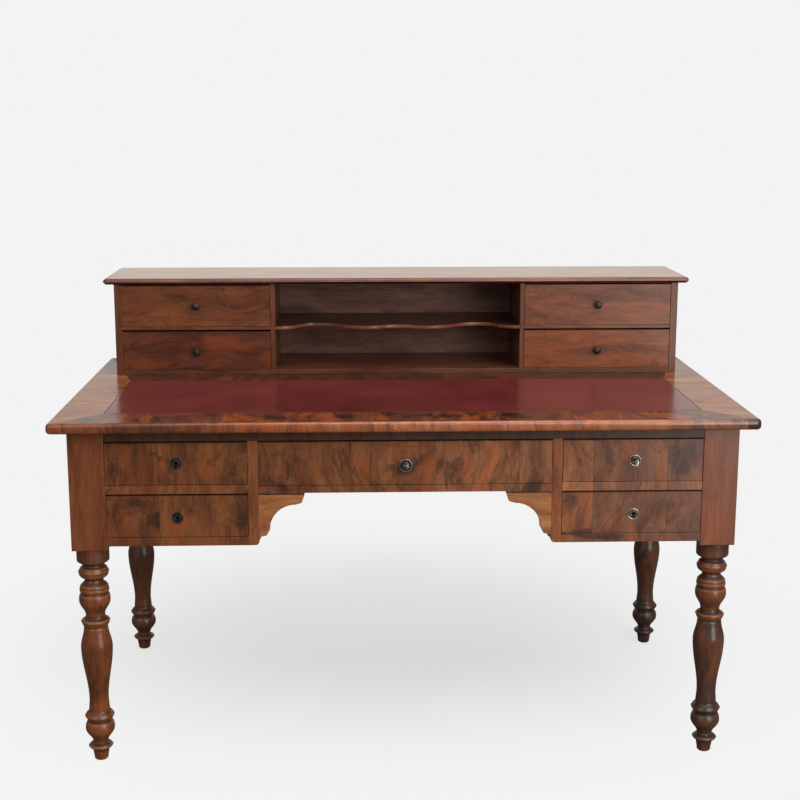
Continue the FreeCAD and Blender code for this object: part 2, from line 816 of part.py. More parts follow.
tongue_front = gallery_front + housing_shoulder
divider_tongues = [
    (gallery_divider_inner, gallery_divider_outer, tongue_front, gallery_back_front,
     gallery_floor - divider_housing_depth, gallery_floor),
    (gallery_divider_inner, gallery_divider_outer, tongue_front, gallery_back_front,
     gallery_top_foot, gallery_top_foot + divider_housing_depth)]
drawer_shelf_tongue = (gallery_divider_outer - divider_housing_depth, gallery_inner + side_housing_depth,
                       tongue_front, gallery_back_front, gallery_shelf_foot, gallery_shelf_top)
centre_shelf_half = gallery_divider_inner + divider_housing_depth
centre_shelf_tongue = (-centre_shelf_half, centre_shelf_half, tongue_front, gallery_back_front,
                       gallery_shelf_foot, gallery_shelf_top)
bottom_half = gallery_inner + side_housing_depth
bottom_tongue = (-bottom_half, bottom_half, tongue_front, gallery_back_front, desktop_height, gallery_floor)
back_half = gallery_inner + gallery_back_rebate


def gallery_side():
    board = block(gallery_inner, gallery_outer, gallery_front, half_depth, desktop_height, gallery_top_foot)
    rebate = block(gallery_inner - overrun, back_half, gallery_back_front, half_depth + overrun,
                   desktop_height - overrun, gallery_top_foot + overrun)
    return board.cut([rebate, block(*drawer_shelf_tongue), block(*bottom_tongue)])


def gallery_bottom():
    board = block(-gallery_inner, gallery_inner, gallery_front, gallery_back_front,
                  desktop_height, gallery_floor)
    housings = [block(*limits) for limits in both_ways(divider_tongues[0])]
    return joined(board, [block(*bottom_tongue)]).cut(housings)


def gallery_top_board():
    board = moulded_board(half_width - gallery_side_inset + gallery_end_overhang,
                          gallery_front - gallery_front_overhang, gallery_top_foot, gallery_top,
                          0, gallery_top_round, 0)
    return board.cut([block(*limits) for limits in both_ways(divider_tongues[1])])


def gallery_back():
    return block(-back_half, back_half, gallery_back_front, half_depth, desktop_height, gallery_top_foot)


def gallery_divider():
    board = block(gallery_divider_inner, gallery_divider_outer, gallery_front, gallery_back_front,
                  gallery_floor, gallery_top_foot)
    board = joined(board, [block(*limits) for limits in divider_tongues])
    return board.cut([block(*drawer_shelf_tongue), block(*centre_shelf_tongue)])


def drawer_shelf():
    board = block(gallery_divider_outer, gallery_inner, gallery_front, gallery_back_front,
                  gallery_shelf_foot, gallery_shelf_top)
    return joined(board, [block(*drawer_shelf_tongue)])


def sweep(start, end):
    """Two like arcs that leave start and reach end along the desk."""
    run = end.x - start.x
    rise = end.y - start.y
    turn = math.atan(abs(rise / run))
    quarter = math.hypot(run, rise) / 4
    offset = Vector(math.copysign(quarter, run), math.copysign(quarter * math.tan(turn / 2), rise), 0)
    middle = (start + end) / 2
    return [Part.Arc(start, start + offset, middle).toShape(), Part.Arc(middle, end - offset, end).toShape()]


def centre_shelf():
    """Its front edge sweeps back twice, with a shallow dip in the middle."""
    end = gallery_divider_inner - housing_shoulder
    level = gallery_shelf_foot
    places = [Vector(end, gallery_front, level),
              Vector(end * scallop_place_share, gallery_front + scallop_depth, level),
              Vector(end * point_place_share, gallery_front + shelf_point_inset, level),
              Vector(0, gallery_front + centre_dip_depth, level)]
    places += [Vector(-place.x, place.y, level) for place in places[-2::-1]]
    edges = []
    for start, finish in zip(places, places[1:]):
        edges += sweep(start, finish)
    corners = [places[-1], Vector(-gallery_divider_inner, gallery_front, level),
               Vector(-gallery_divider_inner, gallery_back_front, level),
               Vector(gallery_divider_inner, gallery_back_front, level),
               Vector(gallery_divider_inner, gallery_front, level), places[0]]
    outline = Part.Wire(edges + Part.makePolygon(corners).Edges)
    board = Part.Face(outline).extrude(Vector(0, 0, gallery_shelf_thickness))
    tongue = block(gallery_divider_inner, centre_shelf_half, *centre_shelf_tongue[2:])
    return joined(board, [tongue, mirrored(tongue)])


# All the pieces, by the name of their node

front_leg = leg(case_front, [top_rail_tenon, middle_rail_tenon, bottom_rail_tenon, side_apron_front_tenon])
back_leg = leg(back_post_front, [back_apron_tenon, side_apron_back_tenon])

pieces = {
    "desktop": desktop(),
    "leather_inset": block(*leather_limits(leather_edge_gap, 0)),
    "front_left_leg": mirrored(front_leg),
    "front_right_leg": front_leg,
    "back_left_leg": mirrored(back_leg),
    "back_right_leg": back_leg,
    "top_rail": top_rail(),
    "knee_rail": knee_rail(),
    "back_apron": back_apron(),
    "drawer_partitions": pair(partition()),
    "gallery_top": gallery_top_board(),
    "gallery_bottom": gallery_bottom(),
    "gallery_back": gallery_back(),
    "gallery_dividers": pair(gallery_divider()),
    "gallery_drawer_shelves": pair(drawer_shelf()),
    "gallery_centre_shelf": centre_shelf()}

for name, shape in (("divider", divider()), ("bracket", bracket()), ("side_apron", side_apron()),
                    ("bottom_rail", bottom_rail()), ("gallery_side", gallery_side())):
    pieces["left_" + name] = mirrored(shape)
    pieces["right_" + name] = shape
pieces["left_middle_rail"] = mirrored(middle_rail(-lock_x["left"]))
pieces["right_middle_rail"] = middle_rail(lock_x["right"])

runners = [centre_runner(), kicker(drawer_centre)]
for level in desk_floors.values():
    runners += outer_runner(level) + inner_runner(level)
pieces["drawer_runners"] = Part.makeCompound(runners + [mirrored(runner) for runner in runners] + [kicker(0)])

side_stops = []
for level in desk_floors.values():
    side_stops += stops(divider_outer, post_inner, level)
pieces["drawer_stops"] = Part.makeCompound(
    side_stops + [mirrored(stop) for stop in side_stops]
    + stops(-divider_inner, divider_inner, knee_rail_top))

for level, floor in desk_floors.items():
    front_top = floor + drawer_opening_height - upper_gap
    front, box = desk_drawer(divider_outer, post_inner, floor, floor + drawer_opening_height)
    halves = {"left": (mirrored(front), mirrored(box)), "right": (front, box)}
    for side, (board, tray) in halves.items():
        place = (lock_x[side], lock_z[level], front_top)
        parts_of_lock = [lock_case(*place), escutcheon(*place[:2])]
        bolt = block(*bolt_limits(*place))
        drawer_name = side + "_" + level
        pieces[drawer_name + "_drawer_front"] = fitted_for_lock(board, *place)
        pieces[drawer_name + "_drawer_box"] = tray
        if drawer_name == "right_upper":
            pieces["right_upper_bolt"] = bolt
            pieces["key"] = key(*place[:2])
        else:
            parts_of_lock.append(bolt)
        pieces[drawer_name + "_lock"] = Part.makeCompound(parts_of_lock)

front, box = desk_drawer(-divider_inner, divider_inner, knee_rail_top, top_rail_foot)
pieces["centre_drawer_front"] = bored_for_knob(front, 0, case_front, centre_knob_z, knob_facets)
pieces["centre_drawer_box"] = box
pieces["centre_drawer_knob"] = centre_knob(centre_knob_z)

gallery_levels = {"lower": (gallery_floor, gallery_shelf_foot, lower_knob_drop),
                  "upper": (gallery_shelf_top, gallery_top_foot, 0)}
for level, (floor, top, drop) in gallery_levels.items():
    front, box = gallery_drawer(floor, top)
    knob_z = (floor + gallery_lower_gap + top - gallery_upper_gap) / 2 - drop
    front = bored_for_knob(front, gallery_drawer_centre, gallery_front, knob_z, small_knob_facets)
    for name, shape in (("front", front), ("box", box), ("knob", gallery_knob(knob_z))):
        pieces[f"gallery_left_{level}_drawer_{name}"] = mirrored(shape)
        pieces[f"gallery_right_{level}_drawer_{name}"] = shape

os.makedirs("parts", exist_ok=True)
for name, shape in pieces.items():
    shape.exportStep(f"parts/{name}.step")
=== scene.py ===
import math
import random

import bmesh
import bpy
from mathutils import Matrix, Vector


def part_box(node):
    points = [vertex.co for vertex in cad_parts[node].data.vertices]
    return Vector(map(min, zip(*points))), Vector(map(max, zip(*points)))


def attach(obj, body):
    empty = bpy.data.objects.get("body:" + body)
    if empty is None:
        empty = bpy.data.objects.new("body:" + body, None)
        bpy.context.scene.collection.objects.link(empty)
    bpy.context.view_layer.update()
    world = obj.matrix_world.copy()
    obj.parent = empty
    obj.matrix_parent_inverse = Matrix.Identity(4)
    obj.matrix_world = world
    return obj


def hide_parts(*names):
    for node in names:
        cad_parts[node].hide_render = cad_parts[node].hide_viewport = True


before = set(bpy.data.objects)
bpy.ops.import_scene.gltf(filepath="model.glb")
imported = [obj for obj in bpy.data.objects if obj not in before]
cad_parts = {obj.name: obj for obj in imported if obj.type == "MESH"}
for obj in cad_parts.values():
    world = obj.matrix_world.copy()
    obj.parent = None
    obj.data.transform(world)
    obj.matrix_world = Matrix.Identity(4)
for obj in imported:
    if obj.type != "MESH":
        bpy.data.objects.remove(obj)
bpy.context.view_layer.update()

random.seed(18)


# The room: a white studio floor that runs off into an even white ground. A
# broad window and a low lamp light it from the right, a weaker window from the
# left, one light from above, and a wall behind that the polished tops mirror.

def add(tree, kind, links=None, stops=None, **settings):
    """Adds one node; links holds its inputs, as values or as what feeds them."""
    node = tree.nodes.new("ShaderNode" + kind)
    for setting, value in settings.items():
        setattr(node, setting, value)
    for name, value in (links or {}).items():
        if isinstance(value, bpy.types.Node):
            value = value.outputs[0]
        if isinstance(value, bpy.types.NodeSocket):
            tree.links.new(value, node.inputs[name])
        else:
            node.inputs[name].default_value = value
    for index, (place, colour) in enumerate(stops or []):
        ramp = node.color_ramp.elements
        stop = ramp[index] if index < 2 else ramp.new(place)
        stop.position = place
        stop.color = colour
    return node


def tint(hexcode):
    """An sRGB hex colour as a linear colour."""
    channels = [int(hexcode[start:start + 2], 16) / 255 for start in (1, 3, 5)]
    linear = [c / 12.92 if c <= 0.04045 else ((c + 0.055) / 1.055) ** 2.4 for c in channels]
    return (*linear, 1.0)


def new_material(name):
    """An empty material, its node tree and the coordinates of what it is put on."""
    material = bpy.data.materials.new(name)
    material.use_nodes = True
    material.node_tree.nodes.clear()
    return material, material.node_tree, add(material.node_tree, "TexCoord")


scene = bpy.context.scene
scene.view_settings.view_transform = "Standard"

ground_white = tint("#f3f3f3")
plain_white = (1.0, 1.0, 1.0, 1.0)
room_light = 0.22
floor_white = tint("#efefee")
floor_mirrored = tint("#7e7a76")
floor_evenness = 0.65
floor_reach = 40.0
shade_middle = 0.5
shade_half_width = 0.85
shade_half_depth = 0.75
shade_core = 0.35
shade_end = 1.5

world = bpy.data.worlds.new("studio")
scene.world = world
world.use_nodes = True
tree = world.node_tree
tree.nodes.clear()
seen = add(tree, "Background", {"Color": ground_white, "Strength": 1.0})
lit = add(tree, "Background", {"Color": plain_white, "Strength": room_light})
path = add(tree, "LightPath")
mixed = add(tree, "MixShader", {0: path.outputs["Is Camera Ray"], 1: lit, 2: seen})
add(tree, "OutputWorld", {"Surface": mixed})

floor_mesh = bpy.data.meshes.new("studio_floor")
floor_corners = [(x * floor_reach, y * floor_reach, 0)
                 for x, y in ((-1, -1), (1, -1), (1, 1), (-1, 1))]
floor_mesh.from_pydata(floor_corners, [], [(0, 1, 2, 3)])
studio_floor = bpy.data.objects.new("studio_floor", floor_mesh)
scene.collection.objects.link(studio_floor)
floor_paint, tree, where = new_material("painted_floor")
centred = add(tree, "VectorMath", {0: where.outputs["Object"], 1: (0.0, shade_middle, 0.0)},
              operation="SUBTRACT")
oval = add(tree, "VectorMath", {0: centred, 1: (shade_half_width, shade_half_depth, 1.0)},
           operation="DIVIDE")
distance = add(tree, "VectorMath", {0: oval}, operation="LENGTH")
fade = add(tree, "MapRange", {"Value": distance.outputs["Value"], "From Min": shade_core,
                              "From Max": shade_end, "To Min": floor_evenness},
           interpolation_type="SMOOTHSTEP")
paint = add(tree, "BsdfDiffuse", {"Color": floor_white})
glow = add(tree, "Emission", {"Color": ground_white, "Strength": 1.0})
both = add(tree, "MixShader", {0: fade, 1: paint, 2: glow})
path = add(tree, "LightPath")
dimmed = add(tree, "BsdfDiffuse", {"Color": floor_mirrored})
shown = add(tree, "MixShader", {0: path.outputs["Is Camera Ray"], 1: dimmed, 2: both})
add(tree, "OutputMaterial", {"Surface": shown})
floor_mesh.materials.append(floor_paint)

# Each light's place, its width and height in metres and its power in watts
soft_lights = {
    "window_right": ((2.0, -3.2, 2.6), (3.0, 2.4), 90.0),
    "low_right": ((2.0, -3.3, 0.5), (1.2, 0.9), 26.0),
    "room_left": ((-2.4, -3.0, 2.5), (2.6, 2.2), 24.0),
    "ceiling": ((0.4, -0.4, 4.2), (4.0, 3.0), 90.0),
    "back_wall": ((0.0, 5.2, 1.9), (9.0, 3.4), 48.0)}
lit_point = Vector((0, 0, 0.7))
for name, (place, size, power) in soft_lights.items():
    light = bpy.data.lights.new(name, "AREA")
    light.shape = "RECTANGLE"
    light.size, light.size_y = size
    light.energy = power
    lamp = bpy.data.objects.new(name, light)
    lamp.location = place
    lamp.rotation_euler = (lit_point - Vector(place)).to_track_quat("-Z", "Y").to_euler()
    lamp.visible_camera = False
    scene.collection.objects.link(lamp)
bpy.data.lights["back_wall"].color = tint("#fffbf1")[:3]

camera_pitch = 0.19799
camera_roll = -0.00049
camera_yaw = -0.03376
camera_data = bpy.data.cameras.new("camera")
camera_data.lens = 63.93
camera_data.sensor_width = 36.0
camera = bpy.data.objects.new("camera", camera_data)
camera.location = (-0.1117, -3.3026, 1.4078)
camera.rotation_euler = (math.pi / 2 - camera_pitch, camera_roll, camera_yaw)
scene.collection.objects.link(camera)
scene.camera = camera


# The walnut of the whole desk: European walnut, stained reddish and French
# polished. The polish leaves the pores half open, so the wood shines softly
# and its fibres stay just visible; the cut decides how lively the figure is.

# Real fibres and pores are finer than a pixel; both are drawn five times wider
fibre_width = 0.0035
pore_width = 0.0011
growth_zone_width = 0.030
figure_width = 0.085
vein_spacing = 0.075
bends_per_metre = 7.0
fibre_depth = 0.0006
pore_depth = 0.0003
shadow_and_dirt_reach = 0.0028
leaf_reach = 1.2
leaf_joint = 0.0012
walnut_dark = tint("#2a1811")
walnut_glow = tint("#a3501f")
highlit_rubbed_walnut = tint("#b57a52")
groove_dirt = tint("#2f2823")


def cut_leaves(width, spread):
    """Veneer leaves about that wide, each as where it starts and its own cast."""
    leaves = []
    start = -leaf_reach
    while start < leaf_reach:
        leaves.append((start, [random.uniform(1 - spread, 1 + spread)] * 3))
        start += width * random.uniform(0.7, 1.3)
    return leaves


def walnut(name, grain, tones, figure=0.5, glow=0.3, leaves=(), gloss=0.34, shine=0.5, coat=0.0,
           seed=0.0, shade_and_dust_on_top=0.0, grime=False, knots=(), flames=(), shadow_and_dirt_lines=()):
    """French polished walnut with its fibres along the grain axis.

    tones are its darker, middle and lighter colours. A veneer is laid in leaves,
    side by side across the grain; solid walnut has none. knots and flames are
    its dark burr patches and its glowing ones, each as its middle, half its size
    and its strength. dusk is how far what faces up is darkened, as painted shade
    and dust, and seams are the heights of dark lines of painted shadow and dirt.
    """
    material, tree, where = new_material(name)
    darker, middle, lighter = [tint(tone) for tone in tones]
    x, y, z = add(tree, "SeparateXYZ", {0: where.outputs["Object"]}).outputs
    across, beside, along = {"X": (y, z, x), "Y": (x, z, y), "Z": (x, y, z)}[grain]
    laid = add(tree, "CombineXYZ", {0: across, 1: beside, 2: along})
    wood = add(tree, "VectorMath", {0: laid, 1: (seed, seed * 0.7, seed * 1.3)})
    if leaves:
        if grain == "Z":
            across = add(tree, "Math", {0: across, 1: beside}, operation="ADD")
        laid_out = []
        for offset in (0.0, leaf_joint):
            share = add(tree, "MapRange", {"Value": across, "From Min": -leaf_reach + offset,
                                           "From Max": leaf_reach + offset})
            laid_out.append(add(tree, "ValToRGB", {0: share}, stops=[
                ((start + leaf_reach) / (2 * leaf_reach),
                 (*(part / 2 for part in cast), number / len(leaves)))
                for number, (start, cast) in enumerate(leaves)]))
            laid_out[-1].color_ramp.interpolation = "CONSTANT"
        cast, number = laid_out[0].outputs
        chance = add(tree, "TexWhiteNoise", {"W": number}, noise_dimensions="1D")
        jump = add(tree, "VectorMath", {0: chance.outputs["Color"], "Scale": 3.0},
                   operation="SCALE")
        wood = add(tree, "VectorMath", {0: wood, 1: jump})
    bend = add(tree, "TexNoise", {"Vector": wood, "Scale": bends_per_metre, "Detail": 1.0})
    centred = add(tree, "VectorMath", {0: bend.outputs["Color"], 1: (0.5, 0.5, 0.5)},
                  operation="SUBTRACT")
    drift = add(tree, "VectorMath", {0: centred, "Scale": 0.12 * figure}, operation="SCALE")
    wavy = add(tree, "VectorMath", {0: wood, 1: drift})
    stray = add(tree, "VectorMath", {0: centred, "Scale": 0.09}, operation="SCALE")
    strayed = add(tree, "VectorMath", {0: where.outputs["Object"], 1: stray})

    def cloud(width, length, detail, rough=0.5, distortion=0.0, source=wavy):
        """Noise in patches of that width across the grain and that length along it."""
        stretched = add(tree, "VectorMath", {0: source, 1: (1 / width, 1 / width, 1 / length)},
                        operation="MULTIPLY")
        return add(tree, "TexNoise", {"Vector": stretched, "Scale": 1.0, "Detail": detail,
                                      "Roughness": rough, "Distortion": distortion})

    def with_patches(value, patches):
        """Raises a pattern where the patches lie, so that they keep its ragged outline."""
        for patch, half, strength in patches:
            offset = add(tree, "VectorMath", {0: strayed, 1: patch}, operation="SUBTRACT")
            shape = add(tree, "VectorMath", {0: offset, 1: half}, operation="DIVIDE")
            reach = add(tree, "VectorMath", {0: shape}, operation="LENGTH")
            raised = add(tree, "MapRange", {"Value": reach.outputs["Value"], "From Min": 1.5,
                                            "From Max": 0.3, "To Max": strength},
                         interpolation_type="SMOOTHSTEP")
            value = add(tree, "Math", {0: value, 1: raised}, operation="ADD")
        return value

    def covered(colour, other, share, low=None, high=None, most=1.0):
        """Lays one colour over another, by a share or where a pattern runs from low to high."""
        if low is not None:
            share = add(tree, "MapRange", {"Value": share, "From Min": low, "From Max": high,
                                           "To Max": most}, interpolation_type="SMOOTHSTEP")
        return add(tree, "Mix", {0: share, 6: colour, 7: other}, data_type="RGBA").outputs[2]

    fibres = cloud(fibre_width, fibre_width * 24, 4.0, 0.62)
    zones = cloud(growth_zone_width, growth_zone_width * 7, 3.0, 0.6, 0.4)
    clouds = with_patches(cloud(figure_width, figure_width * 1.5, 4.0, 0.68, 1.2), knots)
    warmth = with_patches(cloud(figure_width * 0.55, figure_width * 1.7, 3.0, 0.6, 0.7), flames)
    contour = cloud(vein_spacing, vein_spacing * 2.2, 3.0, 0.55, 0.9)
    pores = cloud(pore_width, pore_width * 16, 1.0, 0.4)
    of_fibres = add(tree, "Math", {0: fibres, 1: 0.5}, operation="MULTIPLY")
    tone = add(tree, "Math", {0: zones, 1: 0.75, 2: of_fibres}, operation="MULTIPLY_ADD")
    colour = add(tree, "ValToRGB", {0: tone},
                 stops=[(0.44, darker), (0.80, lighter), (0.62, middle)])
    colour = covered(colour, walnut_glow, warmth, 0.50, 0.68, glow)
    near_line = add(tree, "Math", {0: contour, 1: 0.5}, operation="SUBTRACT")
    apart = add(tree, "Math", {0: near_line}, operation="ABSOLUTE")
    vein = add(tree, "MapRange", {"Value": apart, "From Min": 0.024, "From Max": 0.002,
                                  "To Max": figure * 0.55}, interpolation_type="SMOOTHSTEP")
    in_figure = add(tree, "MapRange", {"Value": clouds, "From Min": 0.40, "From Max": 0.56},
                    interpolation_type="SMOOTHSTEP")
    dark_vein = add(tree, "Math", {0: vein, 1: in_figure}, operation="MULTIPLY")
    colour = covered(colour, walnut_dark, dark_vein)
    colour = covered(colour, walnut_dark, clouds, 0.50, 0.74, figure)
    colour = covered(colour, walnut_dark, pores, 0.60, 0.74, 0.45)
    if leaves:
        same_leaf = add(tree, "Math", {0: number, 1: laid_out[1].outputs[1], 2: 0.001},
                        operation="COMPARE")
        joint = add(tree, "MapRange", {"Value": same_leaf, "To Min": 1.2, "To Max": 2.0})
        own_cast = add(tree, "VectorMath", {0: colour, 1: cast}, operation="MULTIPLY")
        colour = add(tree, "VectorMath", {0: own_cast, "Scale": joint}, operation="SCALE")
    # A dark line of painted shadow, with some dirt, under the top edge of each drawer
    for height in shadow_and_dirt_lines:
        over = add(tree, "Math", {0: z, 1: height}, operation="SUBTRACT")
        away = add(tree, "Math", {0: over}, operation="ABSOLUTE")
        colour = covered(colour, walnut_dark, away, shadow_and_dirt_reach, shadow_and_dirt_reach / 4, 0.8)
    # What faces up is darkened by its normal: painted shade, with dust on the legs
    if shade_and_dust_on_top:
        facing_up = add(tree, "SeparateXYZ", {0: where.outputs["Normal"]})
        colour = covered(colour, walnut_dark, facing_up.outputs[2], 0.5, 0.9, shade_and_dust_on_top)
    if grime:
        # Ring edges standing proud are painted lighter: painted highlights and rubbed polish
        rubbed = add(tree, "Attribute", attribute_name="rubbed")
        colour = covered(colour, highlit_rubbed_walnut, rubbed.outputs["Fac"])
        dirt = add(tree, "Attribute", attribute_name="grime")
        blotches = add(tree, "MapRange", {"Value": clouds, "From Min": 0.3, "From Max": 0.7,
                                          "To Min": 0.5, "To Max": 1.3})
        patchy = add(tree, "Math", {0: dirt.outputs["Fac"], 1: blotches}, operation="MULTIPLY")
        colour = covered(colour, groove_dirt, patchy)
    bump = add(tree, "Bump", {"Height": tone, "Strength": 0.10, "Distance": fibre_depth})
    pits = add(tree, "Bump", {"Height": pores, "Strength": 0.12, "Distance": pore_depth,
                              "Normal": bump})
    worn = cloud(0.09, 0.16, 2.0, source=wood)
    rough = add(tree, "MapRange", {"Value": worn, "To Min": gloss - 0.07, "To Max": gloss + 0.09})
    polish = add(tree, "BsdfPrincipled", {
        "Base Color": colour, "Roughness": rough, "IOR": 1.5, "Specular IOR Level": shine,
        "Coat Weight": coat, "Coat Roughness": 0.1, "Normal": pits})
    add(tree, "OutputMaterial", {"Surface": polish})
    return material


# Four legs, each turned from one square of solid walnut below its post: foot,
# ankle, ball, vase, egg and rings. Polish and dust have darkened the grooves,
# more so on the right and at the back; the ring edges are painted lighter, as
# painted highlights and rubbed polish.

leg_walnut = walnut(
    "polished_turned_walnut", "Z", ("#5c2e14", "#7f4320", "#96552a"),
    figure=0.55, glow=0.45, gloss=0.3, seed=3.1, shade_and_dust_on_top=0.55, grime=True)
post_walnut = walnut(
    "polished_post_walnut", "Z", ("#643219", "#7d4224", "#8e502c"), figure=0.15, seed=8.4)
leg_sides = 64
groove_reach = 0.009
groove_start = 0.001
dirt_per_metre = 85
most_dirt = 0.92
edge_reach = 0.004
highlight_and_rub_per_metre = 500
most_highlight_and_rub = 0.4
leg_dust = {"front_left_leg": 0.0, "front_right_leg": 0.68,
            "back_left_leg": 0.57, "back_right_leg": 0.88}
vase_top = 0.312
dust_above_vase = 0.5
drum_foot = 0.4595
drum_grime = 0.55
post_arris = 0.0012
feet = {"front_left_leg": (-0.677, -0.327), "front_right_leg": (0.677, -0.327),
        "back_left_leg": (-0.677, 0.347), "back_right_leg": (0.677, 0.347)}
post_half = 0.038
post_foot = 0.492
leg_top = 0.758


def sweep(share):
    """Runs smoothly from one radius to the next."""
    return (1 - math.cos(math.pi * share)) / 2, share


def round_out(share):
    """Bulges out in a quarter of an oval."""
    return math.sin(math.pi / 2 * share), 1 - math.cos(math.pi / 2 * share)


def round_in(share):
    """Curves over and in, in a quarter of an oval."""
    return 1 - math.cos(math.pi / 2 * share), math.sin(math.pi / 2 * share)


def profile(*parts):
    """Radius and height along a turning, from points and from curves between them.

    A curve is its kind, the radius it ends at, how far it rises and its steps.
    """
    outline = []
    for part in parts:
        if len(part) == 2:
            outline.append(part)
            continue
        curve, radius, rise, steps = part
        start, foot = outline[-1]
        for step in range(1, steps + 1):
            out, up = curve(step / steps)
            outline.append((start + (radius - start) * out, foot + rise * up))
    return outline


def turned(mesh, outline, sides, place):
    """Adds a turning to a mesh: rings of points round an upright axis at place."""
    turns = [math.tau * side / sides for side in range(sides)]
    rings = []
    for radius, height in outline:
        if radius == 0:
            rings.append([mesh.verts.new(place(0.0, 0.0, height))])
            continue
        rings.append([mesh.verts.new(place(radius * math.cos(turn), radius * math.sin(turn),
                                           height)) for turn in turns])
    for lower, upper in zip(rings, rings[1:]):
        for side in range(sides):
            corners = [lower[side % len(lower)], lower[(side + 1) % sides % len(lower)],
                       upper[(side + 1) % sides % len(upper)], upper[side % len(upper)]]
            mesh.faces.new(list(dict.fromkeys(corners))).smooth = True


def cuboid(mesh, low, high, arris):
    """Adds a block with eased edges to a mesh."""
    block = bmesh.ops.create_cube(mesh, size=1.0)["verts"]
    size = Vector(high) - Vector(low)
    middle = (Vector(high) + Vector(low)) / 2
    placed = Matrix.Translation(middle) @ Matrix.Diagonal((*size, 1.0))
    bmesh.ops.transform(mesh, matrix=placed, verts=block)
    edges = list(dict.fromkeys(edge for vert in block for edge in vert.link_edges))
    bmesh.ops.bevel(mesh, geom=edges, offset=arris, segments=2, profile=0.5, affect="EDGES")


def piece(name, mesh, body, slot, *materials):
    """Makes an object of a mesh, with its finishes, and sets it on its body."""
    bmesh.ops.recalc_face_normals(mesh, faces=mesh.faces)
    data = bpy.data.meshes.new(name)
    mesh.to_mesh(data)
    mesh.free()
    for material in materials:
        data.materials.append(material)
    made = bpy.data.objects.new(name, data)
    scene.collection.objects.link(made)
    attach(made, body)
    return made


def close_by(outline, height, reach):
    """The outline's radius at a height, and its radii no further off than reach."""
    here = min(outline, key=lambda point: abs(point[1] - height))[0]
    return here, [radius for radius, level in outline if abs(level - height) < reach]


def dirtiness(outline, height):
    """How much dirt a height has gathered by lying under the thick places close to it."""
    here, near = close_by(outline, height, groove_reach)
    return max(0.0, max(near) - here - groove_start) * dirt_per_metre


def highlight_and_rubbing(outline, height):
    """How much painted highlight and rubbed polish a height gets by standing out over the middle of
    the radii close to it.
    """
    here, near = close_by(outline, height, edge_reach)
    proud = max(0.0, here - (max(near) + min(near)) / 2)
    return most_highlight_and_rub * min(1.0, proud * highlight_and_rub_per_metre)


# From the floor up: foot, ankle, ball, vase, egg, rings and drum
outline = profile(
    (0.0, 0.0), (0.0126, 0.0), (0.0150, 0.0024), (sweep, 0.0176, 0.0202, 4),
    (sweep, 0.0248, 0.0076, 5), (0.0258, 0.0306), (0.0268, 0.0322), (0.0268, 0.0328),
    (0.0256, 0.0338), (sweep, 0.0164, 0.0084, 6), (sweep, 0.0320, 0.0322, 12),
    (round_in, 0.0246, 0.0176, 9), (0.0244, 0.0930), (sweep, 0.0300, 0.0070, 5), (0.0312, 0.1020),
    (0.0321, 0.1040), (0.0321, 0.1046), (0.0306, 0.1058), (sweep, 0.0226, 0.0124, 7),
    (sweep, 0.0210, 0.0250, 6), (sweep, 0.0343, 0.1212, 26), (sweep, 0.0264, 0.0446, 14),
    (0.0252, 0.3096), (0.0252, 0.3126), (sweep, 0.0286, 0.0044, 5), (0.0297, 0.3196),
    (0.0306, 0.3222), (0.0313, 0.3240), (0.0313, 0.3246), (0.0300, 0.3260),
    (sweep, 0.0212, 0.0072, 7), (sweep, 0.0208, 0.0044, 3), (sweep, 0.0339, 0.0344, 16),
    (round_in, 0.0306, 0.0144, 8), (0.0286, 0.3866), (0.0286, 0.3896), (0.0304, 0.3912),
    (0.0317, 0.3928), (0.0319, 0.3940), (0.0319, 0.3980), (0.0312, 0.3992), (0.0296, 0.3998),
    (0.0296, 0.4010), (0.0307, 0.4016), (0.0308, 0.4026), (sweep, 0.0204, 0.0142, 8),
    (0.0192, 0.4176), (0.0194, 0.4186), (sweep, 0.0292, 0.0086, 7), (0.0306, 0.4278),
    (0.0311, 0.4290), (0.0329, 0.4362), (0.0331, 0.4374), (0.0326, 0.4384), (0.0302, 0.4418),
    (0.0299, 0.4428), (0.0292, 0.4442), (sweep, 0.0222, 0.0072, 6), (0.0224, 0.4524),
    (0.0240, 0.4538), (0.0336, 0.4604), (0.0348, 0.4618), (0.0352, 0.4636),
    (0.0352, drum_foot + 0.006), (0.0352, post_foot))
for node, (x, y) in feet.items():
    mesh = bmesh.new()
    turned(mesh, outline, leg_sides, lambda a, b, c: (x + a, y + b, c))
    turned_verts, turned_faces = len(mesh.verts), len(mesh.faces)
    cuboid(mesh, (x - post_half, y - post_half, post_foot), (x + post_half, y + post_half, leg_top),
           post_arris)
    for face in list(mesh.faces)[turned_faces:]:
        face.material_index = 1
    leg = piece(node.replace("_leg", "_turned_leg"), mesh, "desk", "turned_walnut", leg_walnut,
                post_walnut)
    grime = leg.data.attributes.new("grime", "FLOAT", "POINT")
    rubbed = leg.data.attributes.new("rubbed", "FLOAT", "POINT")
    for index, vert in enumerate(leg.data.vertices[:turned_verts]):
        height = vert.co.z
        dust = leg_dust[node] * (dust_above_vase if height > vase_top else 1.0)
        dirt = min(most_dirt, dust + dirtiness(outline, height))
        grime.data[index].value = drum_grime if height > drum_foot else dirt
        # Painted highlight and rubbed polish on ring edges that stand proud
        rubbed.data[index].value = highlight_and_rubbing(outline, height)
    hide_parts(node)


# Frame of the case: rails, dividers and aprons are tenoned into the posts.
# The front is faced with upright veneer, whose figure runs on over the rails;
# the dividers and the side boards are plain solid walnut.

right_through = 9


def patches(rows, faces_up=False):
    """Patches of the figure on the front or on a top, as walnut takes them.

    Each row is a patch's middle on that face and half its width and height, in
    millimetres, and its strength; a patch reaches right through the board.
    """
    made = []
    for *lengths, strength in rows:
        x, level, wide, high = [length / 1000 for length in lengths]
        if faces_up:
            made.append(((x, level, 0), (wide, high, right_through), strength))
        else:
            made.append(((x, 0, level), (wide, right_through, high), strength))
    return made
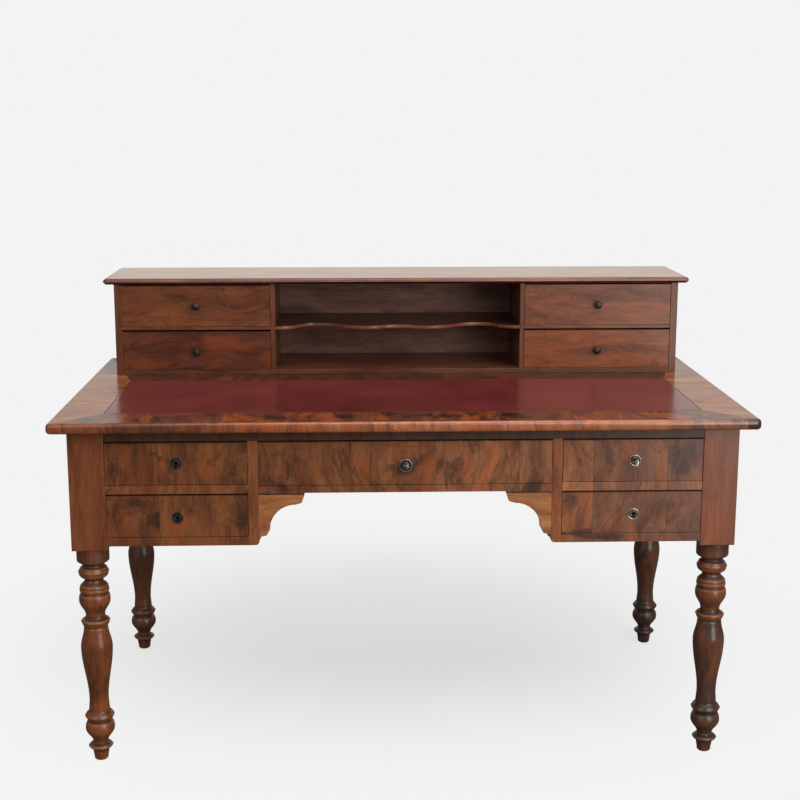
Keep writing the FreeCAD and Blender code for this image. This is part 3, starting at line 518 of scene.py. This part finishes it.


# Dark patches of the front's figure; the one at x 466 beside the key is a painted shadow of the key
front_knots_and_key_shadow = patches([
    (-605, 722, 35, 12, 0.16), (-530, 699, 20, 8, 0.20), (-628, 665, 12, 35, 0.16),
    (-58, 640, 18, 10, 0.18), (-530, 549, 20, 24, 0.20), (-575, 590, 18, 12, 0.15),
    (-355, 576, 20, 40, 0.28), (-345, 712, 18, 18, 0.10), (-268, 665, 12, 50, 0.15),
    (-262, 618, 26, 10, 0.20), (0, 682, 26, 22, 0.20), (64, 690, 8, 30, 0.14),
    (165, 718, 34, 10, 0.08), (258, 670, 10, 40, 0.06), (282, 634, 22, 12, 0.22),
    (466, 690, 18, 20, 0.18), (605, 684, 24, 40, 0.12), (352, 590, 16, 24, 0.10),
    (560, 584, 40, 12, 0.11), (400, 521, 80, 9, 0.26)])
front_flames = patches([
    (-602, 678, 12, 14, 0.20), (-552, 628, 10, 30, 0.24), (-400, 665, 30, 20, 0.14),
    (-470, 548, 30, 16, 0.14), (-82, 665, 9, 50, 0.22), (42, 672, 12, 36, 0.20),
    (552, 666, 11, 56, 0.22), (352, 560, 16, 20, 0.18)])
# The leaves of veneer on the front, each with where it starts in x and its cast;
# the greyer, bluer casts towards the right are a painted haze, a reflection of the lights on the
# right
front_plane = -0.365
front_casts_and_painted_haze = [
    (-0.8, (0.88, 0.81, 0.78)), (-0.53, (1.02, 1.04, 1.04)), (-0.335, (1.10, 1.10, 1.10)),
    (-0.26, (1.06, 1.05, 1.10)), (-0.08, (1.16, 1.18, 1.24)), (0.063, (1.38, 1.48, 1.70)),
    (0.24, (1.26, 1.36, 1.60)), (0.40, (0.98, 1.15, 1.64)), (0.56, (0.90, 1.08, 1.70))]
front_leaves_and_painted_haze = [(start + front_plane, cast) for start, cast in front_casts_and_painted_haze]
# Heights of the painted shadow and dirt lines under the desk drawers' top edges
front_shadow_and_dirt_lines = [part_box(node)[1].z for node in ("left_upper_drawer_front", "left_lower_drawer_front")]
front_veneer = walnut(
    "polished_figured_veneer", "Z", ("#532d18", "#744426", "#8c5631"),
    figure=0.7, glow=0.38, leaves=front_leaves_and_painted_haze, gloss=0.3, shine=0.45,
    knots=front_knots_and_key_shadow, flames=front_flames, shadow_and_dirt_lines=front_shadow_and_dirt_lines)
rail_veneer = walnut(
    "polished_rail_veneer", "Z", ("#603520", "#854f2d", "#9f653a"),
    figure=0.6, glow=0.38, leaves=front_leaves_and_painted_haze, gloss=0.3, shine=0.45,
    knots=front_knots_and_key_shadow, flames=front_flames)
# The top rail is painted dark, as painted shade under the desktop's overhang
top_rail_painted_shade_walnut = walnut(
    "dark_top_rail_painted_shade", "Z", ("#38200f", "#4c2e1b", "#5c3a24"),
    glow=0.1, gloss=0.36, shine=0.4, seed=1.0)
upright_walnut = walnut(
    "polished_upright_walnut", "Z", ("#62361e", "#864d2d", "#9c6037"),
    figure=0.22, glow=0.2, gloss=0.32, shine=0.4, seed=5.3)
side_walnut = walnut(
    "polished_side_walnut", "Y", ("#532a17", "#743f24", "#88502d"),
    figure=0.35, glow=0.2, shine=0.4, seed=9.2)
board_arris = 0.0008
weld_distance = 1e-5
flat_angle = math.radians(1)
arris_angle = math.radians(40)


def finished(node, material, width=board_arris):
    """Gives a board of the frame its finish and takes its arrises off."""
    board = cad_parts[node]
    board.material_slots[0].material = material
    board.modifiers.new("weld", "WELD").merge_threshold = weld_distance
    flat = board.modifiers.new("flat", "DECIMATE")
    flat.decimate_type = "DISSOLVE"
    flat.angle_limit = flat_angle
    eased = board.modifiers.new("eased", "BEVEL")
    eased.width = width
    eased.segments = 2
    eased.limit_method = "ANGLE"
    eased.angle_limit = arris_angle


finished("top_rail", top_rail_painted_shade_walnut)
for node in ("left_middle_rail", "right_middle_rail"):
    finished(node, rail_veneer)
for node in ("left_bottom_rail", "right_bottom_rail", "knee_rail"):
    finished(node, front_veneer)
for node in ("left_divider", "right_divider"):
    finished(node, upright_walnut)
for node in ("left_side_apron", "right_side_apron"):
    finished(node, side_walnut)


# Corner brackets of the kneehole: sawn from a paler board, glued under the
# knee rail, with the grain lying along the rail. The polish is the same, so
# they look lighter but no less glossy than the front.

bracket_walnut = walnut(
    "polished_bracket_walnut", "X", ("#7a4627", "#a0663c", "#b97c4b"),
    glow=0.25, figure=0.3, shine=0.4, seed=2.2)
for node in ("left_bracket", "right_bracket"):
    finished(node, bracket_walnut)


# Inside the case: pine partitions, runners, guides, kickers and stops, planed
# and left without polish, so they look pale and dull. The back board is walnut
# with a thin, duller polish.

pine_late_width = 0.016
pine_stains_per_metre = 9.0
pine_squeeze = 0.06
pine_ring_depth = 0.0005


def pine(name, tones, seed):
    """Planed pine; a board's fibres run along it, so the faces of a side and of a back differ."""
    material, tree, where = new_material(name)
    darker, middle, lighter = [tint(tone) for tone in tones]
    facing = add(tree, "SeparateXYZ", {0: where.outputs["Normal"]})
    sideways = add(tree, "Math", {0: facing}, operation="ABSOLUTE")
    is_side = add(tree, "Math", {0: sideways, 1: 0.5}, operation="GREATER_THAN")
    start = add(tree, "VectorMath", {0: where.outputs["Object"], 1: (seed, seed, seed)})
    long_side = add(tree, "VectorMath", {0: start, 1: (1.0, pine_squeeze, 1.0)},
                    operation="MULTIPLY")
    long_back = add(tree, "VectorMath", {0: start, 1: (pine_squeeze, 1.0, 1.0)},
                    operation="MULTIPLY")
    wood = add(tree, "Mix", {0: is_side, 4: long_back, 5: long_side}, data_type="VECTOR")
    rings = add(tree, "TexNoise", {"Vector": wood.outputs[1], "Scale": 1 / pine_late_width,
                                   "Detail": 3.0, "Roughness": 0.55, "Distortion": 0.3})
    stain = add(tree, "TexNoise", {"Vector": start, "Scale": pine_stains_per_metre, "Detail": 3.0})
    colour = add(tree, "ValToRGB", {0: rings},
                 stops=[(0.36, darker), (0.70, lighter), (0.52, middle)])
    aged = add(tree, "MapRange", {"Value": stain, "From Min": 0.35, "From Max": 0.75,
                                  "To Min": 1.05, "To Max": 0.72})
    shaded = add(tree, "VectorMath", {0: colour, "Scale": aged}, operation="SCALE")
    bump = add(tree, "Bump", {"Height": rings, "Strength": 0.2, "Distance": pine_ring_depth})
    planed = add(tree, "BsdfPrincipled", {"Base Color": shaded, "Roughness": 0.62, "IOR": 1.5,
                                          "Normal": bump})
    add(tree, "OutputMaterial", {"Surface": planed})
    return material


case_pine = pine("planed_case_pine", ("#7d5a38", "#a17a4f", "#b68f62"), 1.7)
for node in ("drawer_partitions", "drawer_runners", "drawer_stops"):
    finished(node, case_pine)
back_walnut = walnut(
    "polished_back_walnut", "X", ("#4f2a18", "#6d3d24", "#81492a"),
    figure=0.3, glow=0.15, gloss=0.42, shine=0.35, seed=12.4)
finished("back_apron", back_walnut)


# Desktop: a board veneered on top in four borders round the leather, front
# and back with the grain running in, the sides with the grain running across,
# and banded round its moulded edge with short upright pieces.

border_knots = patches([
    (-500, -360, 22, 30, 0.16), (-400, -345, 20, 30, 0.16), (-278, -350, 26, 22, 0.26),
    (-125, -360, 30, 20, 0.12), (70, -345, 55, 26, 0.24), (230, -350, 26, 24, 0.24),
    (375, -345, 24, 24, 0.16), (735, -395, 14, 30, 0.40), (560, -345, 55, 35, -0.25)], True)
border_flames = patches([
    (560, -345, 44, 26, 0.44), (-200, -350, 30, 36, 0.22), (-40, -350, 30, 40, 0.20),
    (-345, -365, 30, 30, 0.20), (150, -370, 28, 30, 0.18), (-600, -200, 18, 50, 0.30)], True)
front_border = walnut(
    "polished_border_veneer", "Y", ("#412018", "#663726", "#85492f"),
    figure=0.85, glow=0.7, leaves=cut_leaves(0.14, 0.12), gloss=0.2,
    shine=0.25, seed=4.0, knots=border_knots, flames=border_flames)
side_border = walnut(
    "polished_side_veneer", "X", ("#6f3b1d", "#985a34", "#b87542"),
    figure=0.45, glow=0.45, leaves=cut_leaves(0.16, 0.12), gloss=0.2,
    shine=0.42, seed=6.5, knots=border_knots[-2:-1], flames=border_flames[-1:])
# The back border is painted darker, as a painted reflection of the gallery's dark foot
back_border_painted_reflection = walnut(
    "dull_back_border_painted_reflection", "Y", ("#361c12", "#4f2b1a", "#643a23"),
    figure=0.6, leaves=cut_leaves(0.15, 0.12), gloss=0.3, shine=0.35, seed=4.9)
edge_knots = patches([(-560, 770, 70, 100, 0.14), (-400, 770, 50, 100, 0.08)])
edge_flames = patches([
    (500, 770, 120, 100, 0.30), (150, 770, 60, 100, 0.16), (-300, 770, 40, 100, 0.14)])
# The short pieces of the band, each with where it starts in x and its cast;
# the paler, bluer casts over the middle and right are a painted haze, a reflection of the lights
edge_plane = -0.41
edge_casts_and_painted_haze = [
    (-0.79, (1.0, 0.84, 0.84)), (-0.715, (0.80, 0.70, 0.76)), (-0.52, (0.90, 0.78, 0.80)),
    (-0.36, (1.04, 0.95, 0.95)), (-0.21, (1.10, 1.10, 1.26)), (-0.07, (1.36, 1.42, 1.80)),
    (0.05, (1.32, 1.38, 1.80)), (0.21, (1.34, 1.44, 1.84)), (0.40, (1.10, 1.36, 1.94)),
    (0.56, (0.94, 1.18, 1.76)), (0.718, (0.28, 0.28, 0.34)), (0.765, (0.84, 0.80, 0.80)),
    (0.96, (0.98, 0.92, 0.90)), (1.20, (0.86, 0.82, 0.82))]
edge_leaves_and_painted_haze = [(start + edge_plane, cast) for start, cast in edge_casts_and_painted_haze]
edge_band = walnut(
    "polished_edge_band", "Z", ("#703a1f", "#935330", "#ad693b"),
    figure=0.6, glow=0.6, leaves=edge_leaves_and_painted_haze, gloss=0.2, shine=0.65, seed=7.7,
    knots=edge_knots, flames=edge_flames)
corner_steps = 8
round_steps = 8
least_corner = 0.0002


def board_ring(mesh, half, front, back, corner, inset, height):
    """Points of a board's outline, drawn in by inset, from the back left corner round the front."""
    points = [(-half + inset, back)]
    radius = max(corner - inset, least_corner)
    for side in (-1, 1):
        for step in range(corner_steps + 1):
            turn = math.pi / 2 * step / corner_steps
            swing = turn if side < 0 else math.pi / 2 - turn
            points.append((side * (half - inset - radius + radius * math.cos(swing)),
                           front + inset + radius - radius * math.sin(swing)))
    points.append((half - inset, back))
    return [mesh.verts.new((x, y, height)) for x, y in points]


def moulded_edge(mesh, half, front, back, foot, top, corner, upper, lower):
    """The moulded edge of a board, from its under side up; returns its rings."""
    steps = [(lower, foot), (0.0, foot + lower), (0.0, top - upper)]
    for step in range(1, round_steps + 1):
        turn = math.pi / 2 * step / round_steps
        steps.append((upper * (1 - math.cos(turn)), top - upper * (1 - math.sin(turn))))
    rings = [board_ring(mesh, half, front, back, corner, *step) for step in steps]
    for below, above in zip(rings, rings[1:]):
        for start in range(len(below) - 1):
            face = mesh.faces.new([below[start], below[start + 1], above[start + 1], above[start]])
            face.smooth = True
            face.material_index = 2
    back_face = mesh.faces.new([ring[0] for ring in rings] + [ring[-1] for ring in reversed(rings)])
    back_face.material_index = 3
    mesh.faces.new(rings[0]).material_index = 2
    return rings


def join_squares(mesh, lower, upper):
    """The four faces between two rings of four corners."""
    for start in range(4):
        end = (start + 1) % 4
        mesh.faces.new([lower[start], lower[end], upper[end], upper[start]])


low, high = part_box("desktop")
leather_low, leather_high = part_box("leather_inset")
leather_gap = 0.0003
recess_depth = 0.0015
top_corner = 0.012
top_upper = 0.008
top_lower = 0.004
mesh = bmesh.new()
rim = moulded_edge(mesh, high.x, low.y, high.y, low.z, high.z, top_corner, top_upper, top_lower)[-1]
left, right = leather_low.x - leather_gap, leather_high.x + leather_gap
near, far = leather_low.y - leather_gap, leather_high.y + leather_gap
corners = ((left, far), (left, near), (right, near), (right, far))
hole = [mesh.verts.new((x, y, high.z)) for x, y in corners]
left_mitre = 1 + corner_steps // 2
right_mitre = left_mitre + corner_steps + 1
for corners, finish in ((rim[:left_mitre + 1] + [hole[1], hole[0]], 1),
                        (rim[left_mitre:right_mitre + 1] + [hole[2], hole[1]], 0),
                        (rim[right_mitre:] + [hole[3], hole[2]], 1),
                        ([rim[-1], rim[0], hole[0], hole[3]], 3)):
    mesh.faces.new(corners).material_index = finish
sunk = [mesh.verts.new(corner.co - Vector((0, 0, recess_depth))) for corner in hole]
join_squares(mesh, hole, sunk)
mesh.faces.new(sunk)
desktop = piece("veneered_desktop", mesh, "desk", "walnut_top", front_border, side_border,
                edge_band, back_border_painted_reflection)
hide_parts("desktop")


# Writing surface: oxblood goatskin, glued into the recess and glazed, so it
# has a low shine over fine pebbles and looks rubbed in patches. Its edges are
# pressed down into the corner, which leaves a thin dark line.

pebble_width = 0.0016
pebble_depth = 0.0002
worn_patches_per_metre = 6.0
rubbed_areas_per_metre = 1.3
glaze_gloss = 0.17
leather_edge = 0.0022
leather_drop = 0.0011
leather_rise = 0.0001
leather_dark, leather_red, leather_light = tint("#572220"), tint("#702e2c"), tint("#823936")

leather, tree, where = new_material("glazed_oxblood_goatskin")
place = where.outputs["Object"]
pebbles = add(tree, "TexVoronoi", {"Vector": place, "Scale": 1 / pebble_width}, feature="SMOOTH_F1")
wear = add(tree, "TexNoise", {"Vector": place, "Scale": worn_patches_per_metre, "Detail": 5.0,
                              "Roughness": 0.6})
rubbed = add(tree, "TexNoise", {"Vector": place, "Scale": rubbed_areas_per_metre, "Detail": 2.0})
both = add(tree, "Math", {0: wear, 1: rubbed}, operation="ADD")
share = add(tree, "Math", {0: both, 1: 0.5}, operation="MULTIPLY")
dye = add(tree, "ValToRGB", {0: share},
          stops=[(0.34, leather_dark), (0.70, leather_light), (0.52, leather_red)])
creases = add(tree, "Bump", {"Height": pebbles.outputs["Distance"], "Strength": 0.25,
                             "Distance": pebble_depth})
dull = add(tree, "MapRange", {"Value": wear, "To Min": glaze_gloss - 0.05,
                              "To Max": glaze_gloss + 0.10})
skin = add(tree, "BsdfPrincipled", {"Base Color": dye, "Roughness": dull, "IOR": 1.5,
                                    "Specular IOR Level": 0.28, "Normal": creases})
add(tree, "OutputMaterial", {"Surface": skin})

mesh = bmesh.new()
levels = [(0.0, -recess_depth), (0.0, -leather_drop), (leather_edge * 0.4, -leather_drop * 0.35),
          (leather_edge, -leather_rise), (leather_edge * 3, 0.0)]
rings = []
for inset, drop in levels:
    left, right = leather_low.x + inset, leather_high.x - inset
    near, far = leather_low.y + inset, leather_high.y - inset
    rings.append([mesh.verts.new((x, y, leather_high.z + drop))
                  for x, y in ((left, near), (right, near), (right, far), (left, far))])
for below, above in zip(rings, rings[1:]):
    join_squares(mesh, below, above)
mesh.faces.new(rings[-1])
mesh.faces.new(rings[0][::-1])
writing_leather = piece("writing_leather", mesh, "desk", "leather", leather)
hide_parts("leather_inset")


# Gallery: a low case set back on the desktop, of solid walnut boards housed
# into each other, under a moulded top board. Its inside has been oiled, not
# polished, and looks darker and duller in its shade; its back is painted paler,
# as painted light in the shaded compartments. The top has the glossiest polish.

gallery_upright = walnut(
    "polished_gallery_side", "Z", ("#4a2718", "#683c28", "#7a4c34"),
    figure=0.25, glow=0.15, gloss=0.33, shine=0.4, seed=14.1)
gallery_shelf = walnut(
    "polished_gallery_shelf", "X", ("#512818", "#70402a", "#855034"),
    figure=0.3, glow=0.2, gloss=0.3, shine=0.4, shade_and_dust_on_top=0.25, seed=16.8)
gallery_inside_painted_light = walnut(
    "oiled_gallery_inside_painted_paler", "X", ("#644436", "#845d4d", "#9a715e"),
    figure=0.3, glow=0.05, gloss=0.5, shine=0.3, seed=19.0)
gallery_base = walnut(
    "polished_gallery_base", "X", ("#462317", "#603827", "#734632"),
    figure=0.3, glow=0.2, gloss=0.3, shine=0.4, seed=16.8)
# The centre shelf's top is painted dark by its facing up: painted shade inside the compartment
centre_shelf = walnut(
    "painted_shade_centre_shelf", "X", ("#5a2d1c", "#7a4630", "#8f573b"),
    figure=0.3, glow=0.2, gloss=0.3, shine=0.45, shade_and_dust_on_top=0.8, seed=17.5)
gallery_top = walnut(
    "polished_gallery_top", "X", ("#7f4627", "#a66a42", "#bd8053"),
    figure=0.3, gloss=0.2, shine=0.7, coat=0.5, seed=21.6)
gallery_edge = walnut(
    "polished_gallery_edge", "X", ("#55291c", "#74402e", "#8c5139"),
    figure=0.3, glow=0.2, gloss=0.24, shine=0.6, seed=22.8)
for node in ("left_gallery_side", "right_gallery_side", "gallery_dividers"):
    finished(node, gallery_upright)
finished("gallery_bottom", gallery_base)
finished("gallery_drawer_shelves", gallery_shelf)
finished("gallery_centre_shelf", centre_shelf)
finished("gallery_back", gallery_inside_painted_light)

gallery_round = 0.0085
gallery_under = 0.006
low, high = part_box("gallery_top")
mesh = bmesh.new()
rings = moulded_edge(mesh, high.x, low.y, high.y, low.z, high.z, gallery_round, gallery_round,
                     gallery_under)
mesh.faces.new(rings[-1])
gallery_board = piece("moulded_gallery_top", mesh, "desk", "walnut_top", gallery_top, gallery_top,
                      gallery_edge, gallery_edge)
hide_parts("gallery_top")


# Drawers: fronts lap-dovetailed to pine sides, a pine back and a bottom slid
# into grooves. The desk's fronts carry the figured veneer, the gallery's are
# plain solid walnut with the grain lying down.

gallery_tones = {"gallery_left_upper": ("#502a1a", "#703f27", "#844e31"),
                 "gallery_left_lower": ("#3e1f14", "#5b2d1f", "#6d3a26"),
                 "gallery_right_upper": ("#5a3120", "#7c4830", "#92593c"),
                 "gallery_right_lower": ("#582b14", "#7e4220", "#95532b")}
drawer_pine = pine("planed_drawer_pine", ("#9a764b", "#b28c5e", "#c09a6a"), 4.4)
desk_drawers = ["left_upper", "left_lower", "centre", "right_upper", "right_lower"]
gallery_drawers = list(gallery_tones)
front_arris = 0.001
box_arris = 0.0004
for name in desk_drawers:
    finished(name + "_drawer_front", front_veneer, front_arris)
    finished(name + "_drawer_box", drawer_pine, box_arris)
for index, (name, tones) in enumerate(gallery_tones.items()):
    # Each gallery front gets a line of painted shadow, with dirt, under its top edge
    gallery_front = walnut(
        f"polished_{name}_front", "X", tones, figure=0.45, glow=0.35, gloss=0.32, shine=0.4,
        seed=25.3 + 3.7 * index, shadow_and_dirt_lines=[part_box(name + "_drawer_front")[1].z])
    finished(name + "_drawer_front", gallery_front, front_arris)
    finished(name + "_drawer_box", drawer_pine, box_arris)


# Knobs: turned bronze browned with age, with a stepped button in front of a
# wide rose on the centre drawer, its rim painted paler as a painted highlight,
# and small plain buttons gone nearly black on the gallery; each shines softly
# between dull patches.

dent_depth = 0.0002


def metal(name, colour, tarnish, rough, wear_width, amount):
    """Metal whose polish has gone dull in patches about wear_width wide."""
    material, tree, where = new_material(name)
    spots = add(tree, "TexNoise", {"Vector": where.outputs["Object"], "Scale": 1 / wear_width,
                                   "Detail": 4.0, "Roughness": 0.65})
    dull = add(tree, "MapRange", {"Value": spots, "From Min": 0.4, "From Max": 0.65,
                                  "To Max": amount}, interpolation_type="SMOOTHSTEP")
    skin = add(tree, "Mix", {0: dull, 6: tint(colour), 7: tint(tarnish)}, data_type="RGBA")
    matt = add(tree, "MapRange", {"Value": spots, "From Min": 0.3, "From Max": 0.7,
                                  "To Min": rough - 0.06, "To Max": rough + 0.14})
    dents = add(tree, "Bump", {"Height": spots, "Strength": 0.1, "Distance": dent_depth})
    cast = add(tree, "BsdfPrincipled", {"Base Color": skin.outputs[2], "Metallic": 1.0,
                                        "Roughness": matt, "Normal": dents})
    add(tree, "OutputMaterial", {"Surface": cast})
    return material


bronze = metal("browned_turned_bronze", "#77726a", "#332e29", 0.40, 0.006, 0.75)
# The rose's rim is painted paler: a painted highlight
highlit_bronze = metal("bronze_rim_painted_highlight", "#a39f94", "#6d6960", 0.36, 0.004, 0.6)
black_bronze = metal("blackened_bronze_button", "#544f49", "#241f1b", 0.50, 0.005, 0.85)
knob_sides = 48
rim_radius = 0.0120
peg_radius = 0.003
peg_length = 0.009
peg = [(0.0, -peg_length), (peg_radius, -peg_length), (peg_radius, 0.0)]
frame_front = {name + "_drawer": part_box(name + "_drawer_front")[0].y
               for name in desk_drawers + gallery_drawers}


def facing(x, front, z):
    """Turns a turning's upright axis to point forward from a place on a front."""
    return lambda a, b, c: (x + a, front - c, z + b)


def knob(name, node, outline, body, *finishes):
    """A turned knob in the middle of its solid; a wide rim takes the second finish."""
    low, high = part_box(node)
    mesh = bmesh.new()
    middle = Vector(((low.x + high.x) / 2, 0.0, (low.z + high.z) / 2))
    turned(mesh, outline, knob_sides, facing(middle.x, frame_front[body], middle.z))
    for face in mesh.faces:
        from_middle = face.calc_center_median() - middle
        if Vector((from_middle.x, from_middle.z)).length > rim_radius:
            face.material_index = 1
    made = piece(name, mesh, body, "dark_bronze", *finishes)
    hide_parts(node)


outline = profile(
    *peg, (0.0146, 0.0), (0.0146, 0.0018), (round_in, 0.0124, 0.0014, 4),
    (sweep, 0.0088, -0.0014, 4), (0.0062, 0.0020), (0.0052, 0.0034), (0.0050, 0.0095),
    (round_out, 0.0088, 0.0033, 5), (round_in, 0.0080, 0.0027, 4), (0.0070, 0.0159),
    (0.0068, 0.0176), (round_in, 0.0, 0.0024, 6))
knob("centre_drawer_turned_knob", "centre_drawer_knob", outline, "centre_drawer", bronze,
     highlit_bronze)

outline = profile(
    *peg, (0.0062, 0.0), (0.0062, 0.0018), (0.0050, 0.0026), (sweep, 0.0042, 0.0040, 4),
    (round_out, 0.0090, 0.0046, 6), (round_in, 0.0078, 0.0038, 5), (round_in, 0.0, 0.0029, 8))
for name in gallery_drawers:
    knob(name + "_turned_knob", name + "_drawer_knob", outline, name + "_drawer", black_bronze)


# Locks: an iron case let into the back of each front under a selvage plate.
# Outside only a round dished plate shows, with a keyhole; the left ones have
# blackened and look dull, the right ones are nickelled and still shine.

blackened = metal("blackened_iron", "#464540", "#22211d", 0.52, 0.004, 0.85)
nickel = metal("worn_nickel", "#c4beb1", "#8a8172", 0.24, 0.004, 0.5)
nickel_dish = metal("tarnished_nickel_dish", "#6d6052", "#3a3029", 0.42, 0.003, 0.8)
# The keyhole is painted near black: painted shade inside the hole
hollow = metal("keyhole_painted_shade", "#0b0a09", "#140c08", 0.80, 0.002, 0.9)
plate_sides = 72
keyhole_radius = 0.0032
keyhole_slot = 0.0090
keyhole_waist = 0.0011
keyhole_flare = 0.0019
# Radius of the plate and how far it stands out, from its edge to its dish
plate_steps = [(0.0125, 0.0), (0.0125, 0.0009), (0.0121, 0.0014), (0.0113, 0.0016),
               (0.0106, 0.0013), (0.0102, 0.0008), (0.0078, 0.0007), (0.0074, 0.0011),
               (0.0068, 0.0012)]
# How much wider than the keyhole, and how far it stands out
keyhole_steps = [(0.0004, 0.0008), (0.0, 0.0006), (0.0, -0.006)]
plate_rim_steps = 4
case_depth = 0.010
case_half = 0.028
case_drop = 0.017
case_arris = 0.0006
selvage_half = 0.034
selvage_thickness = 0.002
selvage_depth = 0.012
selvage_arris = 0.0004
front_thickness = 0.020
lock_centres = {"left_upper": (-0.4875, 0.6835), "left_lower": (-0.4875, 0.5645),
                "right_upper": (0.4915, 0.6835), "right_lower": (0.4915, 0.5645)}
# The slot, and the finishes of the plate, its keyhole and its dish
lock_finishes = {"left": ("blackened_lock", blackened, hollow, blackened),
                 "right": ("nickelled_lock", nickel, hollow, nickel_dish)}


def keyhole_reach(turn):
    """Distance from the middle of the keyhole to its edge, in a direction."""
    across, down = abs(math.cos(turn)), -math.sin(turn)
    if down <= 0:
        return keyhole_radius
    slope = (keyhole_flare - keyhole_waist) / keyhole_slot
    sideways = across - slope * down
    slot = keyhole_waist / sideways if sideways > 1e-6 else 1.0
    return max(keyhole_radius, min(slot, keyhole_slot / down))


turns = [math.tau * (side + 0.5) / plate_sides for side in range(plate_sides)]
plate_rings = [([radius] * plate_sides, rise) for radius, rise in plate_steps]
plate_rings += [([keyhole_reach(turn) + grown for turn in turns], rise)
                for grown, rise in keyhole_steps]
for name, (x, z) in lock_centres.items():
    body = name + "_drawer"
    front = frame_front[body]
    slot, *finishes = lock_finishes[name.split("_")[0]]
    mesh = bmesh.new()
    rings = [[mesh.verts.new((x + reach * math.cos(turn), front - rise, z + reach * math.sin(turn)))
              for reach, turn in zip(reaches, turns)] for reaches, rise in plate_rings]
    last = len(rings) - 2
    for index, (outer, inner) in enumerate(zip(rings, rings[1:])):
        for side in range(plate_sides):
            beside = (side + 1) % plate_sides
            face = mesh.faces.new([outer[side], outer[beside], inner[beside], inner[side]])
            face.smooth = index < last
            face.material_index = 1 if index == last else 2 if index >= plate_rim_steps else 0
    mesh.faces.new(rings[-1]).material_index = 1
    plate = piece(name + "_escutcheon", mesh, body, slot, *finishes)
    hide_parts(name + "_lock")

    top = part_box(name + "_drawer_front")[1].z
    back = front + front_thickness
    under_selvage = top - selvage_thickness
    mesh = bmesh.new()
    cuboid(mesh, (x - case_half, back - case_depth, z - case_drop),
           (x + case_half, back, under_selvage), case_arris)
    cuboid(mesh, (x - selvage_half, back - selvage_depth, under_selvage),
           (x + selvage_half, back, top), selvage_arris)
    piece(name + "_lock_case", mesh, body, slot, blackened)


# Key of the right upper lock: bright steel pipe key, worn smooth by hands, its
# barrel bored at the tip, its bow forged as an oval ring. It turns the bolt
# beside it, which is of the same steel.

bright_steel = metal("bright_worn_steel", "#e2e0da", "#a8a49b", 0.24, 0.005, 0.35)
key_x, key_z = lock_centres["right_upper"]
key_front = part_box("key")[0].y
key_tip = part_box("key")[1].y
bow_height = 0.024
bow_length = 0.018
bow_rim = 0.0044
bow_thickness = 0.0036
bow_sag = 0.0015
bow_overlap = 0.00125
bow_steps = 48
rim_steps = 12
key_sides = 32
shank_radius = 0.0027
shank_chamfer = 0.0004
collar_radius = 0.0042
bore_radius = 0.0015
bore_depth = 0.012
bit_half = 0.0012
bit_length = 0.004
bit_drop = 0.0082
bit_root = 0.002
bit_arris = 0.0003
bolt_arris = 0.0003

mesh = bmesh.new()
collar_front = key_front + bow_length - bow_overlap
shank_length = key_tip - collar_front
outline = profile(
    (0.0, 0.0), (0.0026, 0.0), (0.0036, 0.0003), (round_out, collar_radius, 0.0009, 4),
    (round_in, 0.0029, 0.0009, 4), (shank_radius, 0.0030),
    (shank_radius, shank_length - shank_chamfer), (shank_radius - shank_chamfer, shank_length),
    (bore_radius, shank_length), (bore_radius, shank_length - bore_depth),
    (0.0, shank_length - bore_depth))
turned(mesh, outline, key_sides, lambda a, b, c: (key_x + a, collar_front + c, key_z + b))
cuboid(mesh, (key_x - bit_half, key_tip - bit_length, key_z - bit_drop),
       (key_x + bit_half, key_tip, key_z - bit_root), bit_arris)
bow_middle = Vector((key_x, key_front + bow_length / 2, key_z - bow_sag))
rings = []
for step in range(bow_steps):
    turn = math.tau * step / bow_steps
    outward = Vector((0, math.cos(turn), math.sin(turn)))
    middle = bow_middle + Vector((0, outward.y * (bow_length - bow_rim) / 2,
                                  outward.z * (bow_height - bow_rim) / 2))
    rings.append([mesh.verts.new(
        middle + outward * math.cos(math.tau * side / rim_steps) * bow_rim / 2
        + Vector((math.sin(math.tau * side / rim_steps) * bow_thickness / 2, 0, 0)))
        for side in range(rim_steps)])
for ring, following in zip(rings, rings[1:] + rings[:1]):
    for side in range(rim_steps):
        beside = (side + 1) % rim_steps
        mesh.faces.new([ring[side], ring[beside], following[beside], following[side]]).smooth = True
key = piece("pipe_key", mesh, "key", "steel_key", bright_steel)
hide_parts("key")
finished("right_upper_bolt", bright_steel, bolt_arris)
